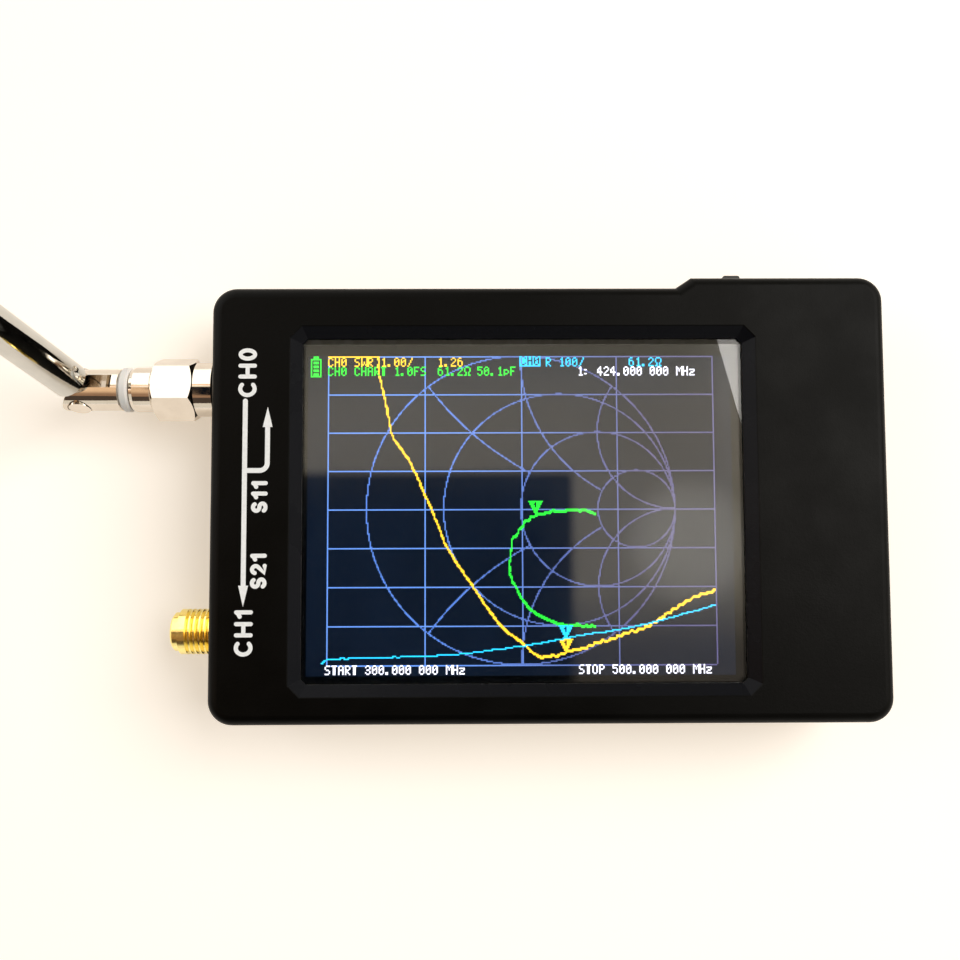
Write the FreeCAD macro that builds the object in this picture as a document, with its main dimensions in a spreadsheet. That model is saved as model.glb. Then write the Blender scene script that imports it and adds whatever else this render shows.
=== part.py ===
import FreeCAD, Part
import math
import os
import re
import Sketcher
from FreeCAD import Placement, Rotation, Vector

# Hand-held antenna analyzer with a jointed telescopic antenna on its upper port.
# Millimetres. The origin is the centre of the case's back face: X runs right along the case,
# Y up along it and Z out of the display. The ports point along -X.

SIZES = [
    # moulded case, split at the height of the port axes
    ("case_long", 90.8),
    ("case_wide", 58.4),
    ("case_thick", 17.0),
    ("overcut", 1.0),
    ("case_wall", 2.0),
    ("front_wall", 1.6),
    ("rear_wall", 1.8),
    ("corner_round", 3.3),
    ("inner_round", 1.2),
    ("edge_round", 1.5),
    ("port_height", 8.2),
    ("lip_high", 0.8),
    ("lip_thick", 0.9),
    ("lip_gap", 0.1),
    ("bump_out", 1.4),
    ("bump_from_end", 28.1),
    ("bump_ramp", 2.1),
    # window in the front case, with a bevel down to the glass
    ("window_cover_ends", 9.7),
    ("window_cover_sides", 3.7),
    ("window_x", -3.5),
    ("window_y", -0.8),
    ("window_corner", 0.7),
    ("bevel_wide", 1.55),
    ("bevel_deep", 1.3),
    ("bevel_facet", 1.6),
    # display stack, from the window inwards
    ("gasket_thick", 0.15),
    ("gasket_wide", 1.6),
    ("touch_thick", 1.0),
    ("adhesive_thick", 0.15),
    ("adhesive_wide", 1.2),
    ("panel_thick", 1.2),
    ("tray_thick", 2.2),
    ("panel_room_ends", 17.6),
    ("panel_room_sides", 4.4),
    ("panel_margin", 0.6),
    ("tray_wall", 0.5),
    ("light_guide_thick", 1.2),
    ("image_long", 57.6),
    ("image_wide", 43.2),
    ("image_x", -3.91),
    ("image_y", -1.43),
    ("panel_offset", 3.0),
    ("tape_edge", 4.0),
    # main board
    ("board_end_gap", 0.9),
    ("board_side_gap", 0.2),
    ("board_thick", 1.6),
    ("board_gap", 0.4),
    ("board_round", 1.6),
    ("post_from_end", 6.1),
    ("post_from_side", 5.4),
    ("post_from_usb", 8.55),
    ("post_radius", 2.9),
    ("boss_radius", 2.6),
    ("screw_radius", 1.1),
    ("screw_fit", 0.05),
    ("head_radius", 1.9),
    ("head_high", 1.3),
    ("head_sink", 1.4),
    ("drive_long", 2.2),
    ("drive_wide", 0.5),
    ("drive_deep", 0.6),
    ("head_gap", 0.2),
    ("screw_reach", 3.4),
    ("socket_recess", 0.7),
    # threaded port sockets
    ("out_port_from_side", 12.6),
    ("in_port_from_side", 11.65),
    ("flange_size", 6.35),
    ("flange_thick", 1.65),
    ("flange_gap", 0.15),
    ("socket_long", 9.15),
    ("thread_radius", 3.175),
    ("thread_pitch", 0.70556),
    ("thread_depth", 0.43),
    ("thread_lead", 0.75),
    ("thread_start_gap", 0.1),
    ("nose_long", 1.15),
    ("nose_radius", 2.7),
    ("nose_chamfer", 0.3),
    ("reference_deep", 1.9),
    ("counterbore_radius", 2.33),
    ("insulator_radius", 2.05),
    ("seat_gap", 0.02),
    ("contact_radius", 0.635),
    ("contact_bore", 0.48),
    ("contact_deep", 2.9),
    ("tail_radius", 0.4),
    ("tail_long", 3.5),
    ("leg_long", 4.7),
    ("leg_wide", 0.95),
    ("leg_thick", 1.0),
    ("leg_root", 0.3),
    ("hole_gap", 0.15),
    ("washer_radius", 4.4),
    ("washer_thick", 1.15),
    # parts on the back of the board
    ("can_long", 22.0),
    ("can_wide", 15.0),
    ("can_high", 2.2),
    ("can_wall", 0.2),
    ("can_from_end", 22.4),
    ("can_y", 13.5),
    ("mixer_long", 5.0),
    ("mixer_wide", 4.0),
    ("mixer_high", 1.5),
    ("mixer_pitch", 9.0),
    ("processor_size", 7.0),
    ("processor_high", 1.4),
    ("processor_from_can", 17.0),
    ("processor_y", 6.0),
    ("clock_size", 3.0),
    ("clock_high", 0.9),
    ("clock_y", -8.0),
    ("flex_wide", 20.0),
    ("flex_thick", 0.15),
    ("flex_radius", 2.4),
    ("flex_lead", 0.7),
    ("flex_slot", 1.2),
    ("flex_slot_room", 0.6),
    ("flex_side_room", 1.0),
    ("flex_connector_long", 4.0),
    ("flex_connector_high", 1.2),
    # USB-C receptacle
    ("usb_wide", 8.94),
    ("usb_high", 3.16),
    ("usb_deep", 7.35),
    ("usb_wall", 0.3),
    ("usb_from_end", 9.1),
    ("usb_inset", 0.3),
    ("usb_gap", 0.25),
    ("usb_tongue_wide", 6.69),
    ("usb_tongue_thick", 0.7),
    ("usb_tongue_long", 4.6),
    ("usb_tongue_inset", 0.6),
    ("usb_tongue_root", 0.5),
    # jog switch: a carrier that pushes in, and a lever pinned in it that tilts
    ("jog_from_end", 18.3),
    ("jog_wide", 8.0),
    ("jog_high", 3.4),
    ("jog_deep", 5.4),
    ("jog_shell", 0.4),
    ("jog_face", 0.6),
    ("jog_stand", 0.7),
    ("jog_travel", 0.4),
    ("jog_tilt", 12.0),
    ("jog_gap", 0.1),
    ("jog_mouth", 2.1),
    ("carrier_plate", 0.4),
    ("carrier_wide", 4.8),
    ("carrier_deep", 3.4),
    ("carrier_web", 0.5),
    ("jog_pin_radius", 0.5),
    ("jog_pin_fit", 0.05),
    ("jog_hub_radius", 1.2),
    ("jog_neck", 1.6),
    ("jog_nub", 2.4),
    ("jog_nub_high", 2.3),
    ("jog_nub_long", 3.7),
    ("jog_show", 2.6),
    ("jog_slot_wide", 6.6),
    ("jog_slot_gap", 0.35),
    # power slide switch
    ("power_from_end", 34.4),
    ("power_wide", 8.2),
    ("power_deep", 3.6),
    ("power_high", 3.4),
    ("power_shell", 0.5),
    ("power_setback", 0.1),
    ("power_travel", 2.0),
    ("power_block", 3.2),
    ("power_nub", 1.8),
    ("power_nub_high", 1.4),
    ("power_inset", 0.3),
    ("power_gap", 0.1),
    ("power_slot_gap", 0.5),
    ("scallop_radius", 7.0),
    ("scallop_deep", 0.8),
    # battery
    ("battery_room_ends", 48.8),
    ("battery_room_sides", 24.4),
    ("battery_thick", 4.0),
    ("battery_from_end", 31.4),
    ("battery_y", -3.5),
    ("battery_round", 1.6),
    ("battery_tape_thick", 0.3),
    ("battery_tape_inset", 5.0),
    ("lead_radius", 0.5),
    ("lead_pitch", 2.0),
    ("lead_run", 3.5),
    ("lead_bend", 3.0),
    ("lead_slope", 40.0),
    ("plug_long", 4.0),
    ("plug_wide", 5.4),
    ("plug_high", 2.2),
    ("header_wide", 7.0),
    ("header_high", 3.2),
    ("header_wall", 0.5),
    ("header_long", 5.2),
    # antenna plug and coupling nut
    ("nut_gap", 0.05),
    ("nut_skirt_radius", 3.85),
    ("nut_skirt_long", 2.55),
    ("nut_flats", 8.0),
    ("nut_hex_long", 6.0),
    ("nut_chamfer_long", 0.55),
    ("nut_chamfer", 0.85),
    ("nut_corner_turn", 52.5),
    ("nut_thread_fit", 0.05),
    ("nut_back_wall", 2.3),
    ("neck_radius", 2.6),
    ("neck_fit", 0.05),
    ("ring_radius", 2.95),
    ("ring_bite", 0.25),
    ("ring_thick", 0.6),
    ("ring_fit", 0.05),
    ("ring_slit", 0.8),
    ("sleeve_radius", 2.28),
    ("sleeve_long", 2.3),
    ("barrel_radius", 3.2),
    ("barrel_long", 3.32),
    ("barrel_round", 0.7),
    ("barrel_gap", 0.1),
    ("plug_bore", 2.05),
    ("plug_insulator_long", 4.2),
    ("pin_radius", 0.45),
    ("pin_reach", 2.4),
    ("pin_body_radius", 0.7),
    ("pin_body_long", 5.1),
    # swivel and elbow
    ("bush_flange_radius", 3.15),
    ("bush_flange_thick", 1.3),
    ("bush_collar_long", 3.0),
    ("bush_round", 0.3),
    ("bush_gap", 0.03),
    ("stub_radius", 1.5),
    ("stub_fit", 0.05),
    ("stub_head_radius", 1.85),
    ("stub_head_long", 0.5),
    ("clevis_gap", 0.05),
    ("clevis_radius", 2.95),
    ("clevis_long", 5.85),
    ("ear_reach", 2.25),
    ("slot_wide", 1.96),
    ("slot_reach", 3.75),
    ("saw_radius", 1.9),
    ("saw_rise", 0.3),
    ("saw_back", 0.7),
    ("elbow_pin_radius", 0.9),
    ("elbow_pin_fit", 0.04),
    ("elbow_head_radius", 1.5),
    ("elbow_head_sink", 0.55),
    ("elbow_head_gap", 0.15),
    ("elbow_head_high", 0.55),
    ("tongue_thick", 1.8),
    ("tongue_round", 2.3),
    ("swivel_rest", 18.0),
    ("elbow_rest", 76.0),
    # telescopic whip, measured from the elbow pin
    ("whip_foot", 3.05),
    ("whip_radius", 2.6),
    ("whip_wall", 0.35),
    ("whip_fit", 0.05),
    ("inner_wall", 0.2),
    ("edge_break", 0.2),
    ("lip_in", 0.1),
    ("lip_long", 1.2),
    ("collar_long", 3.0),
    ("first_long", 50.0),
    ("section_long", 44.5),
    ("section_out", 24.8),
    ("mouth_round", 0.2),
    ("root_long", 5.0),
    ("stake_radius", 1.4),
    ("stake_depth", 0.28),
    ("stake_place", 2.2),
    ("cap_radius", 2.5),
    ("cap_long", 3.2),
    ("cap_round", 0.8),
]

doc = FreeCAD.newDocument("antenna_analyzer")
dims = doc.addObject("Spreadsheet::Sheet", "dims")
for row, (alias, value) in enumerate(SIZES, start=1):
    dims.set(f"A{row}", alias)
    dims.set(f"B{row}", str(value))
    dims.setAlias(f"B{row}", alias)
doc.recompute()

ALIASES = {alias for alias, value in SIZES}
SHARED = {}
PARTS = []


def shared(name, text):
    """Keep one place or distance that several pieces use, in terms of the driving sizes."""
    SHARED[name] = f"({ref(text)})"


def ref(text):
    """Turn the words of an expression into the sheet's cells and the shared places."""

    def word(match):
        name = match.group(0)
        if name in SHARED:
            return SHARED[name]
        if name in ALIASES:
            return f"dims.{name}"
        return name

    return re.sub(r"(?<![\w.])[a-z][a-z_]*", word, str(text))


def number(text):
    """The present value of an expression."""
    return float(dims.evalExpression(ref(text)))


def tie(thing, **expressions):
    """Bind an object's sizes to the sheet. A double underscore stands for a dot."""
    for name, text in expressions.items():
        thing.setExpression(name.replace("__", "."), ref(text))
    return thing


def place(thing, at):
    """Bind an object's place."""
    spots = zip(("x", "y", "z"), at)
    return tie(thing, **{f"Placement__Base__{axis}": text for axis, text in spots})


def box(name, at, size):
    """A block from its lowest corner."""
    made = doc.addObject("Part::Box", name)
    tie(made, Length=size[0], Width=size[1], Height=size[2])
    return place(made, at)


TURNS = {
    "x": Rotation(Vector(0, 1, 0), 90),
    "y": Rotation(Vector(1, 0, 0), -90),
    "z": Rotation(),
}


def cylinder(name, radius, length, at, along="z"):
    """A round bar from the centre of its first end."""
    made = doc.addObject("Part::Cylinder", name)
    made.Placement = Placement(Vector(), TURNS[along])
    tie(made, Radius=radius, Height=length)
    return place(made, at)


def union(name, *pieces):
    made = doc.addObject("Part::MultiFuse", name)
    made.Shapes = list(pieces)
    return made


def cut(name, base, *tools):
    made = doc.addObject("Part::Cut", name)
    made.Base = base
    made.Tool = tools[0] if len(tools) == 1 else union(name + "_tools", *tools)
    return made


def common(name, base, tool):
    made = doc.addObject("Part::Common", name)
    made.Base = base
    made.Tool = tool
    return made


def group(name, *pieces):
    made = doc.addObject("Part::Compound", name)
    made.Links = list(pieces)
    return made


def origin_item(body, role):
    return next(item for item in body.Origin.OriginFeatures if item.Role == role)


def draw(sketch, points):
    """A closed outline whose every corner is dimensioned from the sketch's origin."""
    spots = [(number(x), number(y)) for x, y in points]
    count = len(spots)
    for index in range(count):
        start = Vector(*spots[index], 0)
        end = Vector(*spots[(index + 1) % count], 0)
        sketch.addGeometry(Part.LineSegment(start, end), False)
    for index in range(count):
        sketch.addConstraint(Sketcher.Constraint("Coincident", index, 2, (index + 1) % count, 1))
    for index, (x, y) in enumerate(points):
        across = Sketcher.Constraint("DistanceX", -1, 1, index, 1, spots[index][0])
        sketch.setExpression(f"Constraints[{sketch.addConstraint(across)}]", ref(x))
        along = Sketcher.Constraint("DistanceY", -1, 1, index, 1, spots[index][1])
        sketch.setExpression(f"Constraints[{sketch.addConstraint(along)}]", ref(y))


def new_sketch(body, name, points, height=None, plane="XY_Plane"):
    sketch = body.newObject("Sketcher::SketchObject", name)
    sketch.AttachmentSupport = (origin_item(body, plane), [""])
    sketch.MapMode = "FlatFace"
    if height is not None:
        tie(sketch, AttachmentOffset__Base__z=height)
    draw(sketch, points)
    return sketch


def slab(name, points, low, high):
    """A flat-bottomed block with the given outline, from one height to another."""
    body = doc.addObject("PartDesign::Body", name)
    pad = body.newObject("PartDesign::Pad", name + "_pad")
    pad.Profile = new_sketch(body, name + "_outline", points, low)
    tie(pad, Length=f"{high} - ({low})")
    doc.recompute()
    return body


def round_edges(body, radius, wanted):
    """Round the body's edges that pass the test."""
    base = body.Tip
    names = [f"Edge{i}" for i, edge in enumerate(base.Shape.Edges, start=1) if wanted(edge)]
    fillet = body.newObject("PartDesign::Fillet", body.Name + "_round")
    fillet.Base = (base, names)
    tie(fillet, Radius=radius)
    doc.recompute()
    return body


def upright(edge):
    return abs(edge.tangentAt(edge.FirstParameter).z) > 0.99


def at_height(edge, height):
    return all(abs(corner.Z - height) < 1e-6 for corner in edge.Vertexes)


def turned(name, points, spin_at=None):
    """A turned piece: (place along X, radius) points swept round the X direction."""
    body = doc.addObject("PartDesign::Body", name)
    sketch = new_sketch(body, name + "_profile", points)
    turn = body.newObject("PartDesign::Revolution", name + "_turn")
    turn.Profile = sketch
    turn.ReferenceAxis = (sketch, ["H_Axis"])
    turn.Angle = 360
    if spin_at:
        place(body, spin_at)
    doc.recompute()
    return body


def tube(name, start, end, outer, inner, spin_at=None):
    """A turned ring or tube. An inner radius of 0 makes it solid."""
    points = [(start, inner), (start, outer), (end, outer), (end, inner)]
    return turned(name, points, spin_at)


def part(label, thing):
    """Name a finished sub-part."""
    thing.Label = label
    PARTS.append(thing)
    return thing


# Heights of the display stack and the board, counted down from the front face.
shared("front_inside", "case_thick - front_wall")
shared("touch_top", "front_inside - gasket_thick")
shared("touch_low", "touch_top - touch_thick")
shared("image_high", "touch_low - adhesive_thick")
shared("panel_low", "image_high - panel_thick")
shared("tray_low", "panel_low - tray_thick")
shared("board_low", "port_height + tail_radius")
shared("board_top", "board_low + board_thick")
shared("board_left", "case_wall + board_gap - case_long / 2")
shared("board_right", "case_long / 2 - case_wall - board_end_gap")
shared("board_edge", "case_wide / 2 - case_wall - board_side_gap")
shared("panel_long", "case_long - 2 * case_wall - panel_room_ends")
shared("panel_wide", "case_wide - 2 * case_wall - panel_room_sides")
shared("window_long", "panel_long - window_cover_ends")
shared("window_wide", "panel_wide - window_cover_sides")
shared("panel_x", "image_x + panel_offset")
shared("panel_right", "panel_x + panel_long / 2")
shared("bump_face", "case_wide / 2 + bump_out")
shared("case_left", "0 - case_long / 2")
shared("bump_start", "case_long / 2 - bump_from_end")
shared("usb_x", "case_long / 2 - usb_from_end")
shared("jog_x", "case_long / 2 - jog_from_end")
shared("power_x", "case_long / 2 - power_from_end")
shared("out_port_y", "case_wide / 2 - out_port_from_side")
shared("in_port_y", "in_port_from_side - case_wide / 2")
shared("usb_front", "bump_face - usb_inset")
shared("post_x", "case_long / 2 - post_from_end")
shared("post_y", "case_wide / 2 - post_from_side")
shared("post_y_right", "usb_front - usb_deep - post_from_usb")
shared("can_x", "can_from_end - case_long / 2")
shared("processor_x", "can_x + processor_from_can")
shared("clock_x", "processor_x")
shared("battery_long", "case_long - battery_room_ends")
shared("battery_wide", "case_wide - battery_room_sides")
shared("battery_x", "case_long / 2 - battery_from_end")


def case_outline(inset):
    """The case seen from the front, moved in by a wall: a rectangle with the raised part on top."""
    shared("inset_now", inset)
    shared("ramp_shift", "inset_now * tan(atan(bump_out / bump_ramp) / 2)")
    side = "case_long / 2 - inset_now"
    level = "case_wide / 2 - inset_now"
    return [
        (f"0 - ({side})", f"0 - ({level})"),
        (side, f"0 - ({level})"),
        (side, f"{level} + bump_out"),
        ("bump_start + bump_ramp + ramp_shift", f"{level} + bump_out"),
        ("bump_start + ramp_shift", level),
        (f"0 - ({side})", level),
    ]


def case_block(name, inset, low, high, corner):
    """A block with the case's outline and rounded outer corners."""
    body = slab(name, case_outline(inset), low, high)
    edge_x = number("case_long / 2 - inset_now") - 1e-6

    def outer_corner(edge):
        return upright(edge) and abs(edge.Vertexes[0].X) > edge_x

    return round_edges(body, corner, outer_corner)


def outer_shell(name, low, high, face):
    """Half of the case's outside, with the edge round its flat face rounded."""
    body = case_block(name, "0", low, high, "corner_round")
    return round_edges(body, "edge_round", lambda edge: at_height(edge, number(face)))


def screw_places():
    """The four case screws; the upper right one stands below the USB receptacle."""
    return [
        ("0 - post_x", "post_y"),
        ("0 - post_x", "0 - post_y"),
        ("post_x", "0 - post_y"),
        ("post_x", "post_y_right"),
    ]


def at_screws(name, radius, low, high):
    """One upright bar at each screw."""
    length = f"({high}) - ({low})"
    return [
        cylinder(f"{name}_{index}", radius, length, (x, y, low))
        for index, (x, y) in enumerate(screw_places(), start=1)
    ]


def octagon(long, wide, facet):
    """A rectangle round the window's centre with its corners cut off at 45 degrees."""
    x, y = f"({long}) / 2", f"({wide}) / 2"
    corners = []
    for side_x, side_y in (("-1", "-1"), ("1", "-1"), ("1", "1"), ("-1", "1")):
        near = (f"window_x + {side_x} * ({x} - ({facet}))", f"window_y + {side_y} * ({y})")
        far = (f"window_x + {side_x} * ({x})", f"window_y + {side_y} * ({y} - ({facet}))")
        corners += [far, near] if side_x == side_y else [near, far]
    return corners


# Openings that cross both halves of the case.
def stadium(name, wide, high, start, end, x, z):
    """A bar along Y with round ends, as wide and high as given."""
    flat = f"({wide}) - ({high})"
    length = f"({end}) - ({start})"
    left_x, right_x = f"{x} - ({flat}) / 2", f"{x} + ({flat}) / 2"
    middle = box(name + "_middle", (left_x, start, f"{z} - ({high}) / 2"), (flat, length, high))
    left = cylinder(name + "_left", f"({high}) / 2", length, (left_x, start, z), "y")
    right = cylinder(name + "_right", f"({high}) / 2", length, (right_x, start, z), "y")
    return union(name, middle, left, right)


shared("usb_mid", "board_low - usb_high / 2")
shared("jog_mid", "board_low - jog_high / 2")
shared("jog_front", "bump_face - case_wall - jog_stand")
shared("power_mid", "board_low - power_high / 2")
shared("power_front", "board_edge - power_setback")
shared("nut_front", "case_left - washer_thick - nut_gap")
shared("socket_tip", "board_left - socket_long")
shared("reference", "socket_tip + reference_deep")


def port_opening(name, y):
    """A round hole for the threaded barrel and a pocket for the socket's flange."""
    pocket = "flange_size + 2 * flange_gap"
    hole = cylinder(f"{name}_hole", "thread_radius + hole_gap", "case_wall * 2",
                    ("case_left - case_wall / 2", y, "port_height"), "x")
    low = f"(flange_size / 2 + flange_gap)"
    recess = box(f"{name}_pocket", ("case_left + socket_recess", f"{y} - {low}", f"port_height - {low}"),
                 ("case_wall", pocket, pocket))
    return union(name, hole, recess)


scallop_centre = "case_wide / 2 - scallop_deep + scallop_radius"
wall_openings = union(
    "wall_openings",
    port_opening("out_opening", "out_port_y"),
    port_opening("in_opening", "in_port_y"),
    stadium("usb_opening", "usb_wide + 2 * usb_gap", "usb_high + 2 * usb_gap",
            "bump_face - case_wall - overcut", "bump_face + overcut", "usb_x", "usb_mid"),
    box("jog_opening",
        ("jog_x - jog_slot_wide / 2", "bump_face - case_wall - overcut",
         "jog_mid - jog_nub_high / 2 - jog_slot_gap"),
        ("jog_slot_wide", "case_wall + 2 * overcut", "jog_nub_high + 2 * jog_slot_gap")),
    box("power_opening",
        ("power_x - power_nub / 2 - power_travel / 2 - power_slot_gap", "board_edge",
         "power_mid - power_nub_high / 2 - power_slot_gap"),
        ("power_nub + power_travel + 2 * power_slot_gap", "case_wall * 2",
         "power_nub_high + 2 * power_slot_gap")),
    cylinder("power_scallop", "scallop_radius", "power_nub_high + 4 * power_slot_gap",
             ("power_x", scallop_centre, "power_mid - power_nub_high / 2 - 2 * power_slot_gap")),
)


def front_case():
    """Upper half: face, walls, bevelled window and four bosses for the screws."""
    outer = outer_shell("front_outer", "port_height", "case_thick", "case_thick")
    hollow = case_block("front_hollow", "case_wall", "port_height - overcut", "front_inside", "inner_round")
    lip = case_block("front_rebate", "case_wall - lip_thick - lip_gap", "port_height - overcut",
                     "port_height + lip_high + lip_gap", "inner_round + lip_thick")
    bevel = doc.addObject("Part::Loft", "window_bevel")
    bevel.Sections = [
        loose_sketch("bevel_low", octagon("window_long", "window_wide", "window_corner"),
                     "case_thick - bevel_deep"),
        loose_sketch("bevel_high", octagon("window_long + 2 * bevel_wide", "window_wide + 2 * bevel_wide",
                                           "bevel_facet"), "case_thick"),
    ]
    bevel.Solid = True
    bevel.Ruled = True
    opening = slab("window_opening", octagon("window_long", "window_wide", "window_corner"),
                   "front_inside - overcut", "case_thick")
    shell = cut("front_shell", outer, hollow, lip, bevel, opening)
    bosses = at_screws("front_boss", "boss_radius", "board_top", "front_inside + front_wall / 2")
    pilots = at_screws("front_pilot", "screw_radius + screw_fit", "board_top - overcut",
                       "board_top + screw_reach + screw_fit")
    solid = union("front_with_bosses", shell, *bosses)
    part("front_case", cut("front_case", solid, wall_openings, *pilots))


def loose_sketch(name, points, height):
    sketch = doc.addObject("Sketcher::SketchObject", name)
    place(sketch, ("0", "0", height))
    draw(sketch, points)
    return sketch


def rear_case():
    """Lower half: back, walls, the lip that enters the front half, and four screw posts."""
    outer = outer_shell("rear_outer", "0", "port_height", "0")
    lip = case_block("rear_lip", "case_wall - lip_thick", "port_height - overcut", "port_height + lip_high",
                     "inner_round + lip_thick")
    hollow = case_block("rear_hollow", "case_wall", "rear_wall", "port_height + lip_high + overcut",
                        "inner_round")
    shell = cut("rear_shell", union("rear_walls", outer, lip), hollow)
    posts = at_screws("rear_post", "post_radius", "rear_wall / 2", "board_low")
    sinks = at_screws("rear_sink", "head_radius + head_gap", "0 - overcut", "head_sink + head_high")
    holes = at_screws("rear_hole", "screw_radius + head_gap", "0", "board_low + overcut")
    solid = union("rear_with_posts", shell, *posts)
    part("rear_case", cut("rear_case", solid, wall_openings, *sinks, *holes))


def case_screws():
    """Four identical pan-head screws, driven from the back through the board into the bosses."""
    seat = "head_sink + head_high"
    heads = at_screws("screw_head", "head_radius", "head_sink", seat)
    shanks = at_screws("screw_shank", "screw_radius", seat, "board_top + screw_reach")
    drive = (("drive_long", "drive_wide"), ("drive_wide", "drive_long"))
    slots = [
        box(f"screw_slot_{index}_{turn}",
            (f"{x} - {long} / 2", f"{y} - {wide} / 2", "head_sink - overcut"),
            (long, wide, "overcut + drive_deep"))
        for index, (x, y) in enumerate(screw_places(), start=1)
        for turn, (long, wide) in enumerate(drive)
    ]
    part("case_screws", cut("case_screws", union("screw_blanks", *heads, *shanks), *slots))


def frame_sheet(name, long, wide, border, low, high, x, y):
    """A thin rectangular frame with the given border."""
    size = (long, wide, f"({high}) - ({low})")
    corner = (f"{x} - ({long}) / 2", f"{y} - ({wide}) / 2", low)
    inner_size = (f"{long} - 2 * ({border})", f"{wide} - 2 * ({border})", f"{size[2]} + 2 * overcut")
    inner_corner = (f"{corner[0]} + {border}", f"{corner[1]} + {border}", f"{low} - overcut")
    return cut(name, box(name + "_outside", corner, size), box(name + "_inside", inner_corner, inner_size))


def display():
    """The display stack under the window, glued to the board."""
    part("window_gasket", frame_sheet(
        "window_gasket", "window_long + 2 * gasket_wide", "window_wide + 2 * gasket_wide", "gasket_wide",
        "touch_top", "front_inside", "window_x", "window_y"))
    touch_long = "panel_long - 2 * panel_margin"
    touch_wide = "panel_wide - 2 * panel_margin"
    low_corner = (f"panel_x - ({touch_long}) / 2", f"image_y - ({touch_wide}) / 2", "touch_low")
    part("touch_panel", box("touch_panel", low_corner, (touch_long, touch_wide, "touch_thick")))
    part("touch_adhesive", frame_sheet(
        "touch_adhesive", touch_long, touch_wide, "adhesive_wide", "image_high", "touch_low",
        "panel_x", "image_y"))
    part("lcd_panel", box(
        "lcd_panel", (f"panel_x - ({touch_long}) / 2", f"image_y - ({touch_wide}) / 2", "panel_low"),
        (touch_long, touch_wide, "panel_thick")))
    tray_corner = ("panel_x - panel_long / 2", "image_y - panel_wide / 2", "tray_low")
    guide_corner = ("panel_x - panel_long / 2 + tray_wall", "image_y - panel_wide / 2 + tray_wall",
                    "panel_low - light_guide_thick")
    guide_size = ("panel_long - 2 * tray_wall", "panel_wide - 2 * tray_wall", "light_guide_thick")
    part("backlight_tray", cut(
        "backlight_tray", box("tray_blank", tray_corner, ("panel_long", "panel_wide", "tray_thick")),
        box("tray_recess", guide_corner, guide_size)))
    part("light_guide", box(
        "light_guide",
        tuple(f"{spot} + seat_gap" for spot in guide_corner),
        tuple(f"{size} - 2 * seat_gap" for size in guide_size)))
    part("display_tape", frame_sheet(
        "display_tape", "panel_long - 2 * tape_edge", "panel_wide - 2 * tape_edge", "tape_edge",
        "board_top", "tray_low", "panel_x", "image_y"))


def display_flex():
    """The flat cable that leaves the panel, turns through the board's slot and ends in its connector."""
    low = "panel_low - flex_thick - seat_gap"
    turn_x = "panel_right + flex_lead"
    centre = f"{low} + flex_thick / 2 - flex_radius"
    back = f"{centre} - flex_radius - flex_thick / 2"
    y = "image_y - flex_wide / 2"
    middle = (turn_x, y, centre)
    outer = cylinder("flex_turn_outside", "flex_radius + flex_thick / 2", "flex_wide", middle, "y")
    inner = cylinder("flex_turn_inside", "flex_radius - flex_thick / 2", "flex_wide", middle, "y")
    half = box("flex_turn_half", (turn_x, y, f"{centre} - 2 * flex_radius"),
               ("2 * flex_radius", "flex_wide", "4 * flex_radius"))
    bend = common("flex_turn", cut("flex_turn_ring", outer, inner), half)
    upper = box("flex_upper", ("panel_right", y, low), ("flex_lead", "flex_wide", "flex_thick"))
    connector_right = "panel_right - flex_lead"
    lower = box("flex_lower", (connector_right, y, back),
                (f"{turn_x} - ({connector_right})", "flex_wide", "flex_thick"))
    part("display_flex", union("display_flex", upper, bend, lower))
    shared("connector_face", connector_right)
    shared("flex_back", back)
    shared("flex_outer_x", f"{turn_x} + flex_radius")
    part("flex_connector", box(
        "flex_connector",
        ("connector_face - flex_connector_long", "image_y - flex_wide / 2 - flex_side_room",
         "board_low - flex_connector_high"),
        ("flex_connector_long", "flex_wide + 2 * flex_side_room", "flex_connector_high")))


def main_board():
    """The board, with its screw holes and the slot that the display's cable turns through."""
    blank = slab("board_blank", [
        ("board_left", "0 - board_edge"),
        ("board_right", "0 - board_edge"),
        ("board_right", "board_edge"),
        ("board_left", "board_edge"),
    ], "board_low", "board_top")
    round_edges(blank, "board_round", upright)
    holes = at_screws("board_hole", "screw_radius + head_gap", "board_low - overcut", "board_top + overcut")
    slot = box("board_slot",
               ("flex_outer_x - flex_slot", "image_y - flex_wide / 2 - flex_side_room",
                "board_low - overcut"),
               ("flex_slot + flex_slot_room", "flex_wide + 2 * flex_side_room", "board_thick + 2 * overcut"))
    part("main_board", cut("main_board", blank, slot, *holes))


def shield_can(label, y):
    """A folded steel lid, open towards the board."""
    outside = box(label + "_outside", ("can_x - can_long / 2", f"{y} - can_wide / 2", "board_low - can_high"),
                  ("can_long", "can_wide", "can_high"))
    inside = box(label + "_inside",
                 ("can_x - can_long / 2 + can_wall", f"{y} - can_wide / 2 + can_wall",
                  "board_low - can_high + can_wall"),
                 ("can_long - 2 * can_wall", "can_wide - 2 * can_wall", "can_high"))
    part(label, cut(label, outside, inside))


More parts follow.
